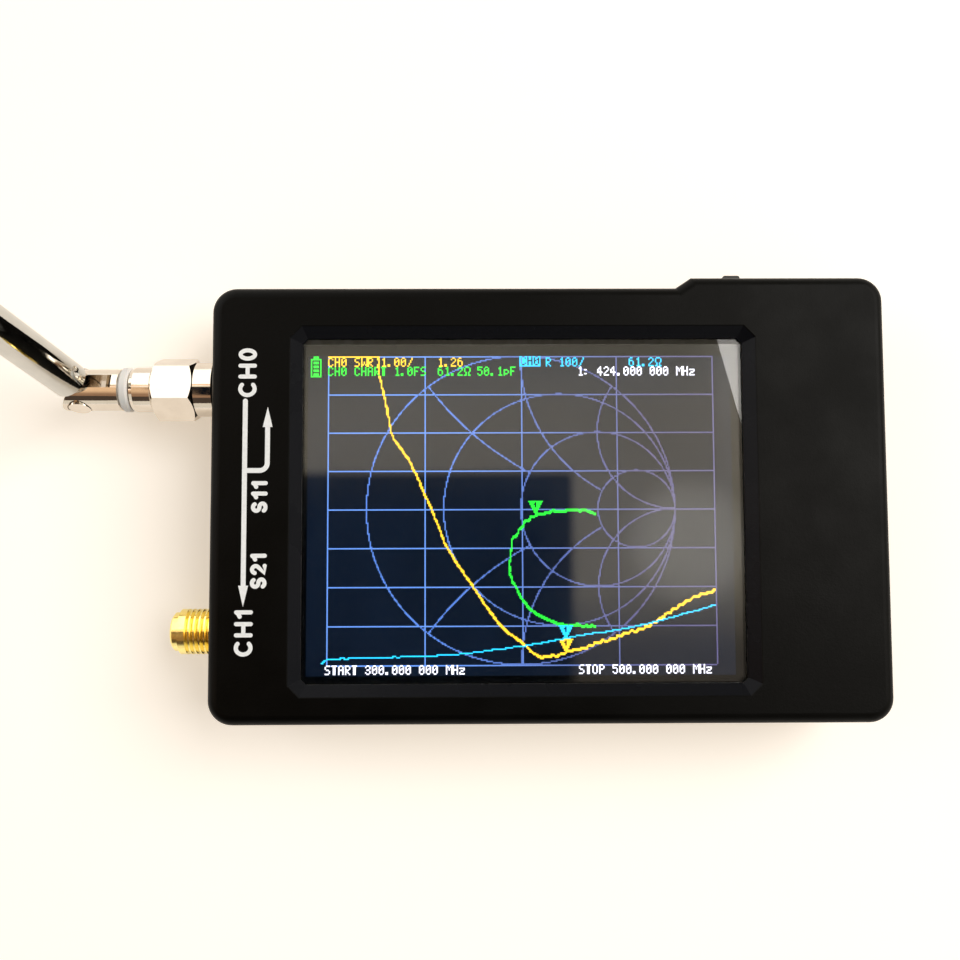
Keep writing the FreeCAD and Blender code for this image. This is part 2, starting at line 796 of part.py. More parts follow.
def board_parts():
    """Chips and shields on the back of the board."""
    shield_can("shield_can_out", "can_y")
    shield_can("shield_can_in", "0 - can_y")
    mixers = [
        box(f"mixer_{index}",
            (f"can_x + ({x}) - mixer_long / 2", f"{y} - mixer_wide / 2", "board_low - mixer_high"),
            ("mixer_long", "mixer_wide", "mixer_high"))
        for index, (x, y) in enumerate(
            (("0 - mixer_pitch / 2", "can_y"), ("mixer_pitch / 2", "can_y"), ("0", "0 - can_y")), start=1)
    ]
    part("mixer_chips", group("mixer_chips", *mixers))
    for label, size, high, x, y in (
        ("processor_chip", "processor_size", "processor_high", "processor_x", "processor_y"),
        ("clock_chip", "clock_size", "clock_high", "clock_x", "clock_y"),
    ):
        corner = (f"{x} - {size} / 2", f"{y} - {size} / 2", f"board_low - {high}")
        part(label, box(label, corner, (size, size, high)))


def port_socket(side, y):
    """An edge-mount threaded socket: shell with flange and legs, insulator and split contact."""
    spin_at = ("0", y, "port_height")
    bore = "insulator_radius + seat_gap"
    nose = "socket_tip + nose_long"
    start = "case_left - thread_start_gap"
    barrel = turned(f"socket_{side}_barrel", [
        ("board_left - flange_thick", bore),
        ("board_left - flange_thick", "thread_radius - thread_depth"),
        (start, "thread_radius - thread_depth"),
        (start, "thread_radius"),
        (nose, "thread_radius"),
        (nose, "nose_radius"),
        ("socket_tip + nose_chamfer", "nose_radius"),
        ("socket_tip", "nose_radius - nose_chamfer"),
        ("socket_tip", "counterbore_radius"),
        ("reference", "counterbore_radius"),
        ("reference", bore),
    ], spin_at)
    groove = barrel.newObject("PartDesign::Groove", f"socket_{side}_groove")
    start = f"{start} - thread_lead"
    half = "thread_depth * tan(30)"
    above = "thread_radius + thread_depth / 8"
    groove.Profile = new_sketch(barrel, f"socket_{side}_v", [
        (f"{start} + {half} * 1.1", above),
        (start, "thread_radius - thread_depth"),
        (f"{start} - {half} * 1.1", above),
    ])
    groove.ReferenceAxis = (groove.Profile[0], ["H_Axis"])
    groove.Angle = 360
    doc.recompute()
    turns = int((number(start) - number(nose)) / number("thread_pitch"))
    thread = barrel.newObject("PartDesign::LinearPattern", f"socket_{side}_thread")
    thread.Originals = [groove]
    thread.Direction = (groove.Profile[0], ["H_Axis"])
    thread.Reversed = True
    thread.Occurrences = turns
    tie(thread, Length=f"thread_pitch * {turns - 1}")
    barrel.Tip = thread
    doc.recompute()

    half_flange = "flange_size / 2"
    flange = box(f"socket_{side}_flange",
                 ("board_left - flange_thick", f"{y} - {half_flange}", f"port_height - {half_flange}"),
                 ("flange_thick", "flange_size", "flange_size"))
    flange_bore = cylinder(f"socket_{side}_flange_bore", bore, "flange_thick + 2 * overcut",
                           ("board_left - flange_thick - overcut", y, "port_height"), "x")
    legs = []
    places = [(sign, level) for level in ("board_top", "board_low - leg_thick") for sign in ("-1", "1")]
    for index, (sign, level) in enumerate(places):
        middle = f"{y} + {sign} * (flange_size - leg_wide) / 2"
        legs.append(box(f"socket_{side}_leg_{index}",
                        ("board_left - leg_root", f"{middle} - leg_wide / 2", level),
                        ("leg_long + leg_root", "leg_wide", "leg_thick")))
    body = cut(f"socket_{side}_body", flange, flange_bore)
    part(f"socket_{side}_shell", union(f"socket_{side}_shell", barrel, body, *legs))

    part(f"socket_{side}_insulator", tube(
        f"socket_{side}_insulator", "board_left", "reference", "insulator_radius",
        "contact_radius + seat_gap", spin_at))
    part(f"socket_{side}_contact", turned(f"socket_{side}_contact", [
        ("board_left + tail_long", "0"),
        ("board_left + tail_long", "tail_radius"),
        ("board_left", "tail_radius"),
        ("board_left", "contact_radius"),
        ("reference", "contact_radius"),
        ("reference", "contact_bore"),
        ("reference + contact_deep", "contact_bore"),
        ("reference + contact_deep + contact_bore / 2", "0"),
    ], spin_at))


def port_washer():
    """A rubber washer between the case and the antenna's nut."""
    part("port_washer", tube("port_washer", "case_left", "case_left - washer_thick", "washer_radius",
                             "thread_radius + hole_gap", ("0", "out_port_y", "port_height")))


def usb_receptacle():
    """The folded receptacle shell and the contact tongue on its back block."""
    inner_wide = "usb_wide - 2 * usb_wall"
    inner_high = "usb_high - 2 * usb_wall"
    back = "usb_front - usb_deep"
    outside = stadium("usb_outside", "usb_wide", "usb_high", back, "usb_front", "usb_x", "usb_mid")
    inside = stadium("usb_inside", inner_wide, inner_high, f"{back} - overcut", "usb_front + overcut",
                     "usb_x", "usb_mid")
    part("usb_shell", cut("usb_shell", outside, inside))
    tongue_end = "usb_front - usb_tongue_inset"
    block = stadium("usb_block", f"{inner_wide} - 2 * seat_gap", f"{inner_high} - 2 * seat_gap", back,
                    f"{tongue_end} - usb_tongue_long", "usb_x", "usb_mid")
    tongue = box("usb_blade",
                 ("usb_x - usb_tongue_wide / 2", f"{tongue_end} - usb_tongue_long - usb_tongue_root",
                  "usb_mid - usb_tongue_thick / 2"),
                 ("usb_tongue_wide", "usb_tongue_long + usb_tongue_root", "usb_tongue_thick"))
    part("usb_tongue", union("usb_tongue", block, tongue))


def jog_switch():
    """Housing on the board, carrier that slides in it and lever that tilts on the carrier's holes."""
    half = "jog_wide / 2"
    back = "jog_front - jog_deep"
    low = "jog_mid - jog_high / 2"
    blank = box("jog_blank", (f"jog_x - {half}", back, low), ("jog_wide", "jog_deep", "jog_high"))
    room_high = "jog_high - 2 * jog_shell"
    shared("jog_lip", "jog_front - jog_face")
    room = box("jog_room", (f"jog_x - {half} + jog_face", f"{back} + jog_shell", f"{low} + jog_shell"),
               ("jog_wide - 2 * jog_face", f"jog_lip - ({back}) - jog_shell", room_high))
    mouth = box("jog_gate", ("jog_x - jog_mouth", "jog_lip - overcut", f"{low} + jog_shell"),
                ("2 * jog_mouth", "jog_face + 2 * overcut", room_high))
    part("jog_housing", cut("jog_housing", blank, room, mouth))

    shared("carrier_front", "jog_lip - jog_gap / 2")
    shared("carrier_back", "carrier_front - carrier_deep")
    shared("carrier_half", "jog_high / 2 - jog_shell - jog_gap")
    shared("jog_pivot", "carrier_back + carrier_web + jog_hub_radius + jog_gap")
    corner = ("jog_x - carrier_wide / 2", "carrier_back", "jog_mid - carrier_half")
    carrier = box("carrier_blank", corner, ("carrier_wide", "carrier_deep", "2 * carrier_half"))
    gap = box("carrier_fork", ("jog_x - carrier_wide / 2 - overcut", "carrier_back + carrier_web",
                               "jog_mid - carrier_half + carrier_plate"),
              ("carrier_wide + 2 * overcut", "carrier_deep", "2 * carrier_half - 2 * carrier_plate"))
    hole = cylinder("carrier_hole", "jog_pin_radius + jog_pin_fit", "jog_high",
                    ("jog_x", "jog_pivot", "jog_mid - jog_high / 2"))
    part("jog_carrier", cut("jog_carrier", carrier, gap, hole))

    thin = "carrier_half - carrier_plate - jog_gap / 2"
    hub = cylinder("jog_hub", "jog_hub_radius", f"2 * ({thin})",
                   ("jog_x", "jog_pivot", f"jog_mid - ({thin})"))
    pin = cylinder("jog_pin", "jog_pin_radius", "2 * carrier_half",
                   ("jog_x", "jog_pivot", "jog_mid - carrier_half"))
    nub_end = "bump_face + jog_show"
    neck = box("jog_neck_bar", ("jog_x - jog_neck / 2", "jog_pivot", f"jog_mid - ({thin})"),
               ("jog_neck", f"{nub_end} - jog_nub_long / 2 - jog_pivot", f"2 * ({thin})"))
    nub = slab("jog_nub_block", [
        ("jog_x - jog_nub / 2", f"{nub_end} - jog_nub_long"),
        ("jog_x + jog_nub / 2", f"{nub_end} - jog_nub_long"),
        ("jog_x + jog_nub / 2", nub_end),
        ("jog_x - jog_nub / 2", nub_end),
    ], "jog_mid - jog_nub_high / 2", "jog_mid + jog_nub_high / 2")
    round_edges(nub, "jog_nub / 6", lambda edge: min(v.Y for v in edge.Vertexes) > number(nub_end) - 0.001)
    part("jog_lever", union("jog_lever", hub, pin, neck, nub))


def power_switch():
    """Slide switch on the board, its slider at the on end of the travel."""
    half = "power_wide / 2"
    low = "power_mid - power_high / 2"
    back = "power_front - power_deep"
    blank = box("power_blank", (f"power_x - {half}", back, low), ("power_wide", "power_deep", "power_high"))
    room_half = "power_block / 2 + power_travel / 2 + power_gap"
    room = box("power_room", (f"power_x - ({room_half})", f"{back} + power_shell", f"{low} + power_shell"),
               (f"2 * ({room_half})", "power_deep - 2 * power_shell", "power_high - 2 * power_shell"))
    gate_half = "power_nub / 2 + power_travel / 2 + power_gap"
    gate = box("power_gate", (f"power_x - ({gate_half})", "power_front - power_shell - overcut / 2",
                              "power_mid - power_nub_high / 2 - power_gap"),
               (f"2 * ({gate_half})", "power_shell + overcut", "power_nub_high + 2 * power_gap"))
    part("power_housing", cut("power_housing", blank, room, gate))
    shared("slider_x", "power_x + power_travel / 2")
    block_high = "power_high - 2 * power_shell - 2 * power_gap"
    block = box("power_block_body",
                ("slider_x - power_block / 2", f"{back} + power_shell + power_gap",
                 f"power_mid - ({block_high}) / 2"),
                ("power_block", "power_deep - 2 * power_shell - 2 * power_gap", block_high))
    block_front = "power_front - power_shell - power_gap"
    nub = box("power_nub_bar",
              ("slider_x - power_nub / 2", f"{block_front} - overcut / 2", "power_mid - power_nub_high / 2"),
              ("power_nub", f"case_wide / 2 - power_inset - ({block_front}) + overcut / 2", "power_nub_high"))
    part("power_slider", union("power_slider", block, nub))


def battery():
    """Flat cell taped to the back, with two leads to a plug in its header on the board."""
    tape_high = "rear_wall + battery_tape_thick"
    x, y = "battery_x - battery_long / 2", "battery_y - battery_wide / 2"
    part("battery_tape", box(
        "battery_tape", (f"{x} + battery_tape_inset", f"{y} + battery_tape_inset", "rear_wall"),
        ("battery_long - 2 * battery_tape_inset", "battery_wide - 2 * battery_tape_inset",
         "battery_tape_thick")))
    pouch = slab("battery_cell", [
        (x, y),
        (f"{x} + battery_long", y),
        (f"{x} + battery_long", f"{y} + battery_wide"),
        (x, f"{y} + battery_wide"),
    ], tape_high, f"{tape_high} + battery_thick")
    round_edges(pouch, "battery_round", lambda edge: abs(edge.tangentAt(edge.FirstParameter).y) > 0.99)
    part("battery_cell", pouch)

    shared("lead_low", f"{tape_high} + battery_thick / 2")
    shared("plug_mid", "board_low - header_high / 2")
    shared("lead_end",
           "battery_x - battery_long / 2 - 2 * lead_run - (plug_mid - lead_low) / tan(lead_slope)")
    part("battery_leads", leads())
    part("battery_plug", box(
        "battery_plug", ("lead_end - plug_long", "0 - plug_wide / 2", "plug_mid - plug_high / 2"),
        ("plug_long", "plug_wide", "plug_high")))
    header = box("header_blank", ("lead_end - header_long", "0 - header_wide / 2", "board_low - header_high"),
                 ("header_long - header_wall", "header_wide", "header_high"))
    room = box("header_room", ("lead_end - plug_long - seat_gap", "0 - plug_wide / 2 - seat_gap",
                               "plug_mid - plug_high / 2 - seat_gap"),
               ("plug_long + overcut", "plug_wide + 2 * seat_gap", "plug_high + 2 * seat_gap"))
    part("battery_header", cut("battery_header", header, room))


def leads():
    """Two round wires in step: level, up a slope and level again, with an arc at each turn."""
    start = number("battery_x - battery_long / 2")
    end = number("lead_end")
    low, high = number("lead_low"), number("plug_mid")
    bend = number("lead_bend")
    slope = math.radians(number("lead_slope"))
    reach = bend * math.tan(slope / 2)
    turn_one = start - number("lead_run")
    turn_two = end + number("lead_run")
    along = Vector(-math.cos(slope), 0, math.sin(slope))
    level = Vector(-1, 0, 0)
    wires = []
    for side in (-1, 1):
        y = side * number("lead_pitch") / 2
        first, second = Vector(turn_one, y, low), Vector(turn_two, y, high)
        edges = [Part.LineSegment(Vector(start, y, low), first - level * reach).toShape()]
        for corner, before, after in ((first, level, along), (second, along, level)):
            middle = (after - before).normalize()
            near = corner + middle * (bend / math.cos(slope / 2) - bend)
            arc = Part.Arc(corner - before * reach, near, corner + after * reach)
            if corner is second:
                edges.append(Part.LineSegment(first + along * reach, second - along * reach).toShape())
            edges.append(arc.toShape())
        edges.append(Part.LineSegment(second + level * reach, Vector(end, y, high)).toShape())
        circle = Part.Circle(Vector(start, y, low), level, number("lead_radius")).toShape()
        path = Part.Wire(edges)
        wires.append(path.makePipeShell([Part.Wire([circle])], True, False))
    made = doc.addObject("Part::Feature", "battery_leads")
    made.Shape = Part.makeCompound(wires)
    made.Placement = Placement()
    return made


# The antenna's axis is the upper port's. These places follow on from the socket's tip.
PORT_AXIS = ("0", "out_port_y", "port_height")
shared("hex_right", "nut_front - nut_skirt_long")
shared("nut_back", "hex_right - nut_hex_long")
shared("nut_shoulder", "nut_back + nut_back_wall")
shared("sleeve_tip", "reference - nut_gap")
shared("neck_front", "socket_tip - nut_gap - sleeve_long / 4")
shared("barrel_front", "nut_back - barrel_gap")
shared("barrel_back", "barrel_front - barrel_long")
shared("flange_right", "barrel_back - bush_gap")
shared("flange_left", "flange_right - bush_flange_thick")
shared("collar_front", "flange_right + bush_collar_long")
shared("clevis_right", "flange_left - clevis_gap")
shared("elbow_x", "clevis_right - clevis_long")
shared("ring_middle", "(nut_shoulder + nut_back) / 2")


def coupling_nut():
    """Captive hex nut: a round skirt over the thread, the hexagon, and a groove for its ring."""
    hex_corner = "nut_flats / sqrt(3)"
    skirt = tube("nut_skirt", "nut_front", "hex_right - overcut / 2", "nut_skirt_radius", "0", PORT_AXIS)
    turned_hex = turned("nut_hex_turned", [
        ("hex_right", "0"),
        ("hex_right", f"{hex_corner} - nut_chamfer"),
        ("hex_right - nut_chamfer_long", hex_corner),
        ("nut_back + nut_chamfer_long", hex_corner),
        ("nut_back", f"{hex_corner} - nut_chamfer"),
        ("nut_back", "0"),
    ], PORT_AXIS)
    prism = doc.addObject("Part::Prism", "nut_hex_bar")
    prism.Polygon = 6
    turn = math.radians(number("nut_corner_turn"))
    corner_way = Vector(0, math.cos(turn), math.sin(turn))
    prism.Placement = Placement(Vector(), Rotation(corner_way, Vector(1, 0, 0).cross(corner_way),
                                                   Vector(1, 0, 0), "ZXY"))
    tie(prism, Circumradius=hex_corner, Height="nut_hex_long + 2 * overcut")
    place(prism, ("nut_back - overcut", PORT_AXIS[1], PORT_AXIS[2]))
    blank = union("nut_blank", skirt, common("nut_hex", turned_hex, prism))
    bore = turned("nut_bore", [
        ("nut_front + overcut", "0"),
        ("nut_front + overcut", "thread_radius + nut_thread_fit"),
        ("nut_shoulder", "thread_radius + nut_thread_fit"),
        ("nut_shoulder", "neck_radius + neck_fit"),
        ("ring_middle + ring_thick / 2 + ring_fit", "neck_radius + neck_fit"),
        ("ring_middle + ring_thick / 2 + ring_fit", "ring_radius + ring_fit"),
        ("ring_middle - ring_thick / 2 - ring_fit", "ring_radius + ring_fit"),
        ("ring_middle - ring_thick / 2 - ring_fit", "neck_radius + neck_fit"),
        ("nut_back - overcut", "neck_radius + neck_fit"),
        ("nut_back - overcut", "0"),
    ], PORT_AXIS)
    part("coupling_nut", cut("coupling_nut", blank, bore))


def antenna_plug():
    """Barrel with its outer contact sleeve, the snap ring in its neck, insulator and centre pin."""
    neck_groove = "neck_radius - ring_bite"
    bore = "plug_bore + seat_gap"
    part("plug_barrel", turned("plug_barrel", [
        ("sleeve_tip", bore),
        ("sleeve_tip", "sleeve_radius"),
        ("neck_front", "sleeve_radius"),
        ("neck_front", "neck_radius"),
        ("ring_middle + ring_thick / 2 + seat_gap", "neck_radius"),
        ("ring_middle + ring_thick / 2 + seat_gap", neck_groove),
        ("ring_middle - ring_thick / 2 - seat_gap", neck_groove),
        ("ring_middle - ring_thick / 2 - seat_gap", "neck_radius"),
        ("barrel_front", "neck_radius"),
        ("barrel_front", "barrel_radius - edge_break"),
        ("barrel_front - edge_break", "barrel_radius"),
        ("barrel_back + barrel_round", "barrel_radius"),
        ("barrel_back + barrel_round * 0.3", "barrel_radius - barrel_round * 0.3"),
        ("barrel_back", "barrel_radius - barrel_round"),
        ("barrel_back", bore),
    ], PORT_AXIS))
    ring = tube("ring_round", "ring_middle + ring_thick / 2", "ring_middle - ring_thick / 2",
                "ring_radius", f"{neck_groove} + seat_gap", PORT_AXIS)
    slit = box("ring_slit_cut",
               ("ring_middle - ring_thick", "out_port_y - ring_slit / 2", "port_height - 2 * ring_radius"),
               ("2 * ring_thick", "ring_slit", "2 * ring_radius"))
    part("nut_ring", cut("nut_ring", ring, slit))
    insulator_back = "sleeve_tip - plug_insulator_long"
    part("plug_insulator", tube("plug_insulator", "sleeve_tip", insulator_back, "plug_bore",
                                "pin_body_radius + seat_gap", PORT_AXIS))
    part("plug_pin", turned("plug_pin", [
        ("sleeve_tip + pin_reach", "0"),
        ("sleeve_tip + pin_reach", "pin_radius * 0.5"),
        ("sleeve_tip + pin_reach - pin_radius", "pin_radius"),
        ("sleeve_tip", "pin_radius"),
        ("sleeve_tip", "pin_body_radius"),
        ("collar_front + stub_head_long + seat_gap", "pin_body_radius"),
        ("collar_front + stub_head_long + seat_gap", "0"),
    ], PORT_AXIS))
    part("swivel_bush", turned("swivel_bush", [
        ("collar_front", "stub_radius + stub_fit"),
        ("collar_front", "plug_bore"),
        ("flange_right", "plug_bore"),
        ("flange_right", "bush_flange_radius - bush_round"),
        ("flange_right - bush_round", "bush_flange_radius"),
        ("flange_left + bush_round", "bush_flange_radius"),
        ("flange_left", "bush_flange_radius - bush_round"),
        ("flange_left", "stub_radius + stub_fit"),
    ], PORT_AXIS))


def swivel_frame():
    """The clevis turned to its place: the elbow pin at the origin, the port axis along X."""
    base = Vector(number("elbow_x"), number("out_port_y"), number("port_height"))
    return Placement(base, Rotation(Vector(1, 0, 0), -number("swivel_rest")))


def whip_frame():
    """The whip bent up from the line of the port axis, still with the elbow pin at the origin."""
    bend = Rotation(Vector(0, 1, 0), number("elbow_rest"))
    return swivel_frame().multiply(Placement(Vector(), bend))


def clevis():
    """Slotted clevis with its stub shaft in the bush, and the elbow pin through its ears."""
    frame = swivel_frame()
    shaft = turned("clevis_turned", [
        ("collar_front + stub_head_long - elbow_x", "0"),
        ("collar_front + stub_head_long - elbow_x", "stub_head_radius"),
        ("collar_front + clevis_gap - elbow_x", "stub_head_radius"),
        ("collar_front + clevis_gap - elbow_x", "stub_radius"),
        ("clevis_right - elbow_x", "stub_radius"),
        ("clevis_right - elbow_x", "clevis_radius - edge_break / 2"),
        ("clevis_right - elbow_x - edge_break / 2", "clevis_radius"),
        ("0 - ear_reach", "clevis_radius"),
        ("0 - ear_reach", "0"),
    ])
    ear_start = "clevis_radius - ear_reach"
    ear_round = cylinder("ear_round", "clevis_radius", "4 * clevis_radius",
                         (ear_start, "0 - 2 * clevis_radius", "0"), "y")
    ear_block = box("ear_block", (ear_start, "0 - 2 * clevis_radius", "0 - 2 * clevis_radius"),
                    ("clevis_long + 3 * bush_collar_long", "4 * clevis_radius", "4 * clevis_radius"))
    rounded = common("clevis_rounded", shaft, union("ear_shape", ear_round, ear_block))
    slot = box("clevis_slot", ("0 - 2 * ear_reach", "0 - slot_wide / 2", "0 - 2 * clevis_radius"),
               ("2 * ear_reach + slot_reach", "slot_wide", "4 * clevis_radius"))
    saw_run = cylinder("clevis_saw_run", "saw_radius", "slot_wide",
                       ("slot_reach - saw_back", "0 - slot_wide / 2", "clevis_radius + saw_rise"), "y")
    hole = cylinder("elbow_hole", "elbow_pin_radius + seat_gap", "4 * clevis_radius",
                    ("0", "0 - 2 * clevis_radius", "0"), "y")
    seats = [
        cylinder("elbow_seat_low", "elbow_head_radius + elbow_head_gap", "clevis_radius",
                 ("0", "elbow_head_sink - 2 * clevis_radius", "0"), "y"),
        cylinder("elbow_seat_high", "elbow_head_radius + elbow_head_gap", "clevis_radius",
                 ("0", "clevis_radius - elbow_head_sink", "0"), "y"),
    ]
    made = part("swivel_clevis", cut("swivel_clevis", rounded, slot, saw_run, hole, *seats))
    made.Placement = frame

    seat = "clevis_radius - elbow_head_sink"
    shank = cylinder("elbow_shank", "elbow_pin_radius", f"2 * ({seat})", ("0", f"0 - ({seat})", "0"), "y")
    head = cylinder("elbow_head", "elbow_head_radius", "elbow_head_high",
                    ("0", f"0 - ({seat}) - elbow_head_high", "0"), "y")
    tail = cylinder("elbow_tail", "elbow_head_radius * 0.9", "elbow_head_high * 0.7", ("0", seat, "0"), "y")
    made = part("elbow_pin", union("elbow_pin", shank, head, tail))
    made.Placement = frame


def whip():
    """Knuckle in the clevis, then telescoping tubes, the end rod and its cap."""
    frame = whip_frame()
    foot = "0 - whip_foot"
    bore = "whip_radius - whip_wall"
    tongue_round = cylinder("tongue_round_end", "tongue_round", "tongue_thick",
                            ("0", "0 - tongue_thick / 2", "0"), "y")
    tongue_bar = box("tongue_bar", (foot, "0 - tongue_thick / 2", "0 - tongue_round"),
                     ("whip_foot", "tongue_thick", "2 * tongue_round"))
    plug = tube("knuckle_plug", foot, f"{foot} - root_long", f"{bore} - seat_gap", "0")
    hole = cylinder("tongue_hole", "elbow_pin_radius + elbow_pin_fit", "2 * tongue_thick",
                    ("0", "0 - tongue_thick", "0"), "y")
    blank = union("knuckle_blank", tongue_round, tongue_bar, plug)
    made = part("whip_knuckle", cut("whip_knuckle", blank, hole))
    made.Placement = frame

    mouth = f"{foot} - first_long"
    lowest = turned("whip_tube_blank", [
        (foot, bore),
        (foot, "whip_radius - edge_break"),
        (f"{foot} - edge_break", "whip_radius"),
        (f"{mouth} + mouth_round", "whip_radius"),
        (mouth, "whip_radius - mouth_round"),
        (mouth, f"{bore} - lip_in"),
        (f"{mouth} + lip_long", f"{bore} - lip_in"),
        (f"{mouth} + lip_long", bore),
    ])
    stakes = []
    for index, side in enumerate(("1", "-1")):
        stake = doc.addObject("Part::Sphere", f"stake_{index}")
        tie(stake, Radius="stake_radius")
        place(stake, (f"{foot} - stake_place", "0",
                      f"{side} * (whip_radius - stake_depth + stake_radius)"))
        stakes.append(stake)
    made = part("whip_tube_1", cut("whip_tube_1", lowest, *stakes))
    made.Placement = frame

    outer = f"{bore} - lip_in - whip_fit"
    top = mouth
    for index in (2, 3, 4):
        top = f"{top} - section_out"
        low = f"{top} + section_long"
        inner = f"{outer} - inner_wall"
        made = part(f"whip_tube_{index}", turned(f"whip_tube_{index}", [
            (low, inner),
            (low, f"{outer} + lip_in"),
            (f"{low} - collar_long", f"{outer} + lip_in"),
            (f"{low} - collar_long", outer),
            (f"{top} + mouth_round / 2", outer),
            (top, f"{outer} - mouth_round / 2"),
            (top, f"{inner} - lip_in"),
            (f"{top} + lip_long", f"{inner} - lip_in"),
            (f"{top} + lip_long", inner),
        ]))
        made.Placement = frame
        outer = f"{inner} - lip_in - whip_fit"

    top = f"{top} - section_out"
    low = f"{top} + section_long"
    made = part("whip_rod", turned("whip_rod", [
        (low, "0"),
        (low, f"{outer} + lip_in"),
        (f"{low} - collar_long", f"{outer} + lip_in"),
        (f"{low} - collar_long", outer),
        (f"{top} - cap_long / 2", outer),
        (f"{top} - cap_long / 2", "0"),
    ]))
    made.Placement = frame
    cap_end = f"{top} - cap_long"
    made = part("whip_cap", turned("whip_cap", [
        (top, f"{outer} + seat_gap"),
        (top, "cap_radius - edge_break"),
        (f"{top} - edge_break", "cap_radius"),
        (f"{cap_end} + cap_round", "cap_radius"),
        (f"{cap_end} + cap_round * 0.3", "cap_radius - cap_round * 0.3"),
        (cap_end, "cap_radius - cap_round"),
        (cap_end, "0"),
        (f"{top} - cap_long / 2 - seat_gap", "0"),
        (f"{top} - cap_long / 2 - seat_gap", f"{outer} + seat_gap"),
    ]))
    made.Placement = frame


front_case()
rear_case()
case_screws()
display()
display_flex()
main_board()
board_parts()
port_socket("out", "out_port_y")
port_socket("in", "in_port_y")
port_washer()
usb_receptacle()
jog_switch()
power_switch()
battery()
coupling_nut()
antenna_plug()
clevis()
whip()
doc.recompute()

for thing in doc.Objects:
    if "Invalid" in thing.State or "Error" in thing.State:
        raise RuntimeError(f"{thing.Label} did not build")
for thing in PARTS:
    if thing.Shape.isNull() or not thing.Shape.isValid():
        raise RuntimeError(f"{thing.Label} has no valid shape")

os.makedirs("parts", exist_ok=True)
for thing in PARTS:
    thing.Shape.exportStep(f"parts/{thing.Label}.step")
    print(f"{thing.Label}: {len(thing.Shape.Solids)} solid(s), {thing.Shape.Volume:.2f} mm3")
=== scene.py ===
import math

import bpy
from mathutils import Matrix, Vector


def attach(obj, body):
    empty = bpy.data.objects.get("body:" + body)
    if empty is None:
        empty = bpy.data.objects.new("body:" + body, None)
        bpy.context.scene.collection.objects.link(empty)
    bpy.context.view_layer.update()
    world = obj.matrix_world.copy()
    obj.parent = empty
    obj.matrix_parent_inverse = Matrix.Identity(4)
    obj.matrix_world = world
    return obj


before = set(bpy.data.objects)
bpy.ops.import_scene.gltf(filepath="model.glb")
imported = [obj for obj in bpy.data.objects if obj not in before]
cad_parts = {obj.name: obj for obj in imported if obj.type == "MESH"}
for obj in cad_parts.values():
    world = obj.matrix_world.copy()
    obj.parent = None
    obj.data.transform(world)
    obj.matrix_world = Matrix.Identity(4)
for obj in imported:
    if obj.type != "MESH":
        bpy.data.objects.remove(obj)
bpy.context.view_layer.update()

# ---------------------------------------------------------------------------
# The table top and the light
# The analyzer lies on its back on a plain white table, lit by a wide soft lamp on its right and a weak
# one on its left. The ceiling has dim and warm parts, which show in the glass and in the plated parts.

MM = 0.001


def spot(millimetres):
    """A place given in millimetres, in Blender's metres."""
    return Vector(millimetres) * MM


def looking(place, towards, upward):
    """The turn of a camera or lamp that stands at a place, looks one way and has its top upward."""
    back = -Vector(towards).normalized()
    side = Vector(upward).cross(back).normalized()
    turn = Matrix((side, back.cross(side), back)).transposed().to_4x4()
    return Matrix.Translation(place) @ turn


def add(name, data):
    """A new object in the scene."""
    made = bpy.data.objects.new(name, data)
    bpy.context.scene.collection.objects.link(made)
    return made


EYE_PLACE = (-10.41, -5.11, 144.29)
EYE_AIM = (0.0082, 0.0640, -0.9979)
EYE_UP = (0.0028, 0.9979, 0.0640)
eye = bpy.data.cameras.new("eye")
eye.sensor_width = 36
eye.lens = 36
eye.clip_start = MM
bpy.context.scene.camera = add("eye", eye)
bpy.context.scene.camera.matrix_world = looking(spot(EYE_PLACE), EYE_AIM, EYE_UP)
bpy.context.scene.view_settings.view_transform = "Standard"


def lamp(name, place, side, watts, tint):
    """A square soft lamp of a side in metres, aimed at the middle of the analyzer."""
    light = bpy.data.lights.new(name, "AREA")
    light.size = side
    light.energy = watts
    light.color = tint
    add(name, light).matrix_world = looking(spot(place), -spot(place), (0, 0.1, 1))


lamp("ceiling_lamp", (460, 200, 600), 0.60, 5.0, (1, 0.97, 0.93))
lamp("window_light", (-520, 160, 420), 0.40, 0.6, (0.92, 0.96, 1))


class Nodes:
    """The node tree of one material or of the world, with a short word for each kind of node."""

    def __init__(self, tree):
        self.tree = tree

    def node(self, kind, inputs=(), **settings):
        made = self.tree.nodes.new("ShaderNode" + kind)
        for setting, value in settings.items():
            setattr(made, setting, value)
        for place, value in dict(inputs).items():
            if isinstance(value, bpy.types.NodeSocket):
                self.tree.links.new(value, made.inputs[place])
            else:
                made.inputs[place].default_value = value
        return made

    def math(self, operation, first, second=0.0, clamp=False):
        return self.node("Math", {0: first, 1: second}, operation=operation, use_clamp=clamp).outputs[0]

    def ramp(self, source, low, high, start=0.0, end=1.0, smooth=True):
        """The source's run from low to high, as a run from start to end."""
        made = self.node("MapRange", {"Value": source, "From Min": low, "From Max": high,
                                      "To Min": start, "To Max": end})
        made.interpolation_type = "SMOOTHSTEP" if smooth else "LINEAR"
        return made.outputs["Result"]

    def mix(self, share, first, second):
        """Two colours mixed by a share."""
        made = self.node("Mix", data_type="RGBA")
        for place, value in ((0, share), (6, first), (7, second)):
            if isinstance(value, bpy.types.NodeSocket):
                self.tree.links.new(value, made.inputs[place])
            else:
                made.inputs[place].default_value = value
        return made.outputs[2]


def colour(red, green, blue):
    """A colour given as it looks on a display, 0 to 255, as a linear colour."""
    return tuple((value / 255) ** 2.2 for value in (red, green, blue)) + (1,)


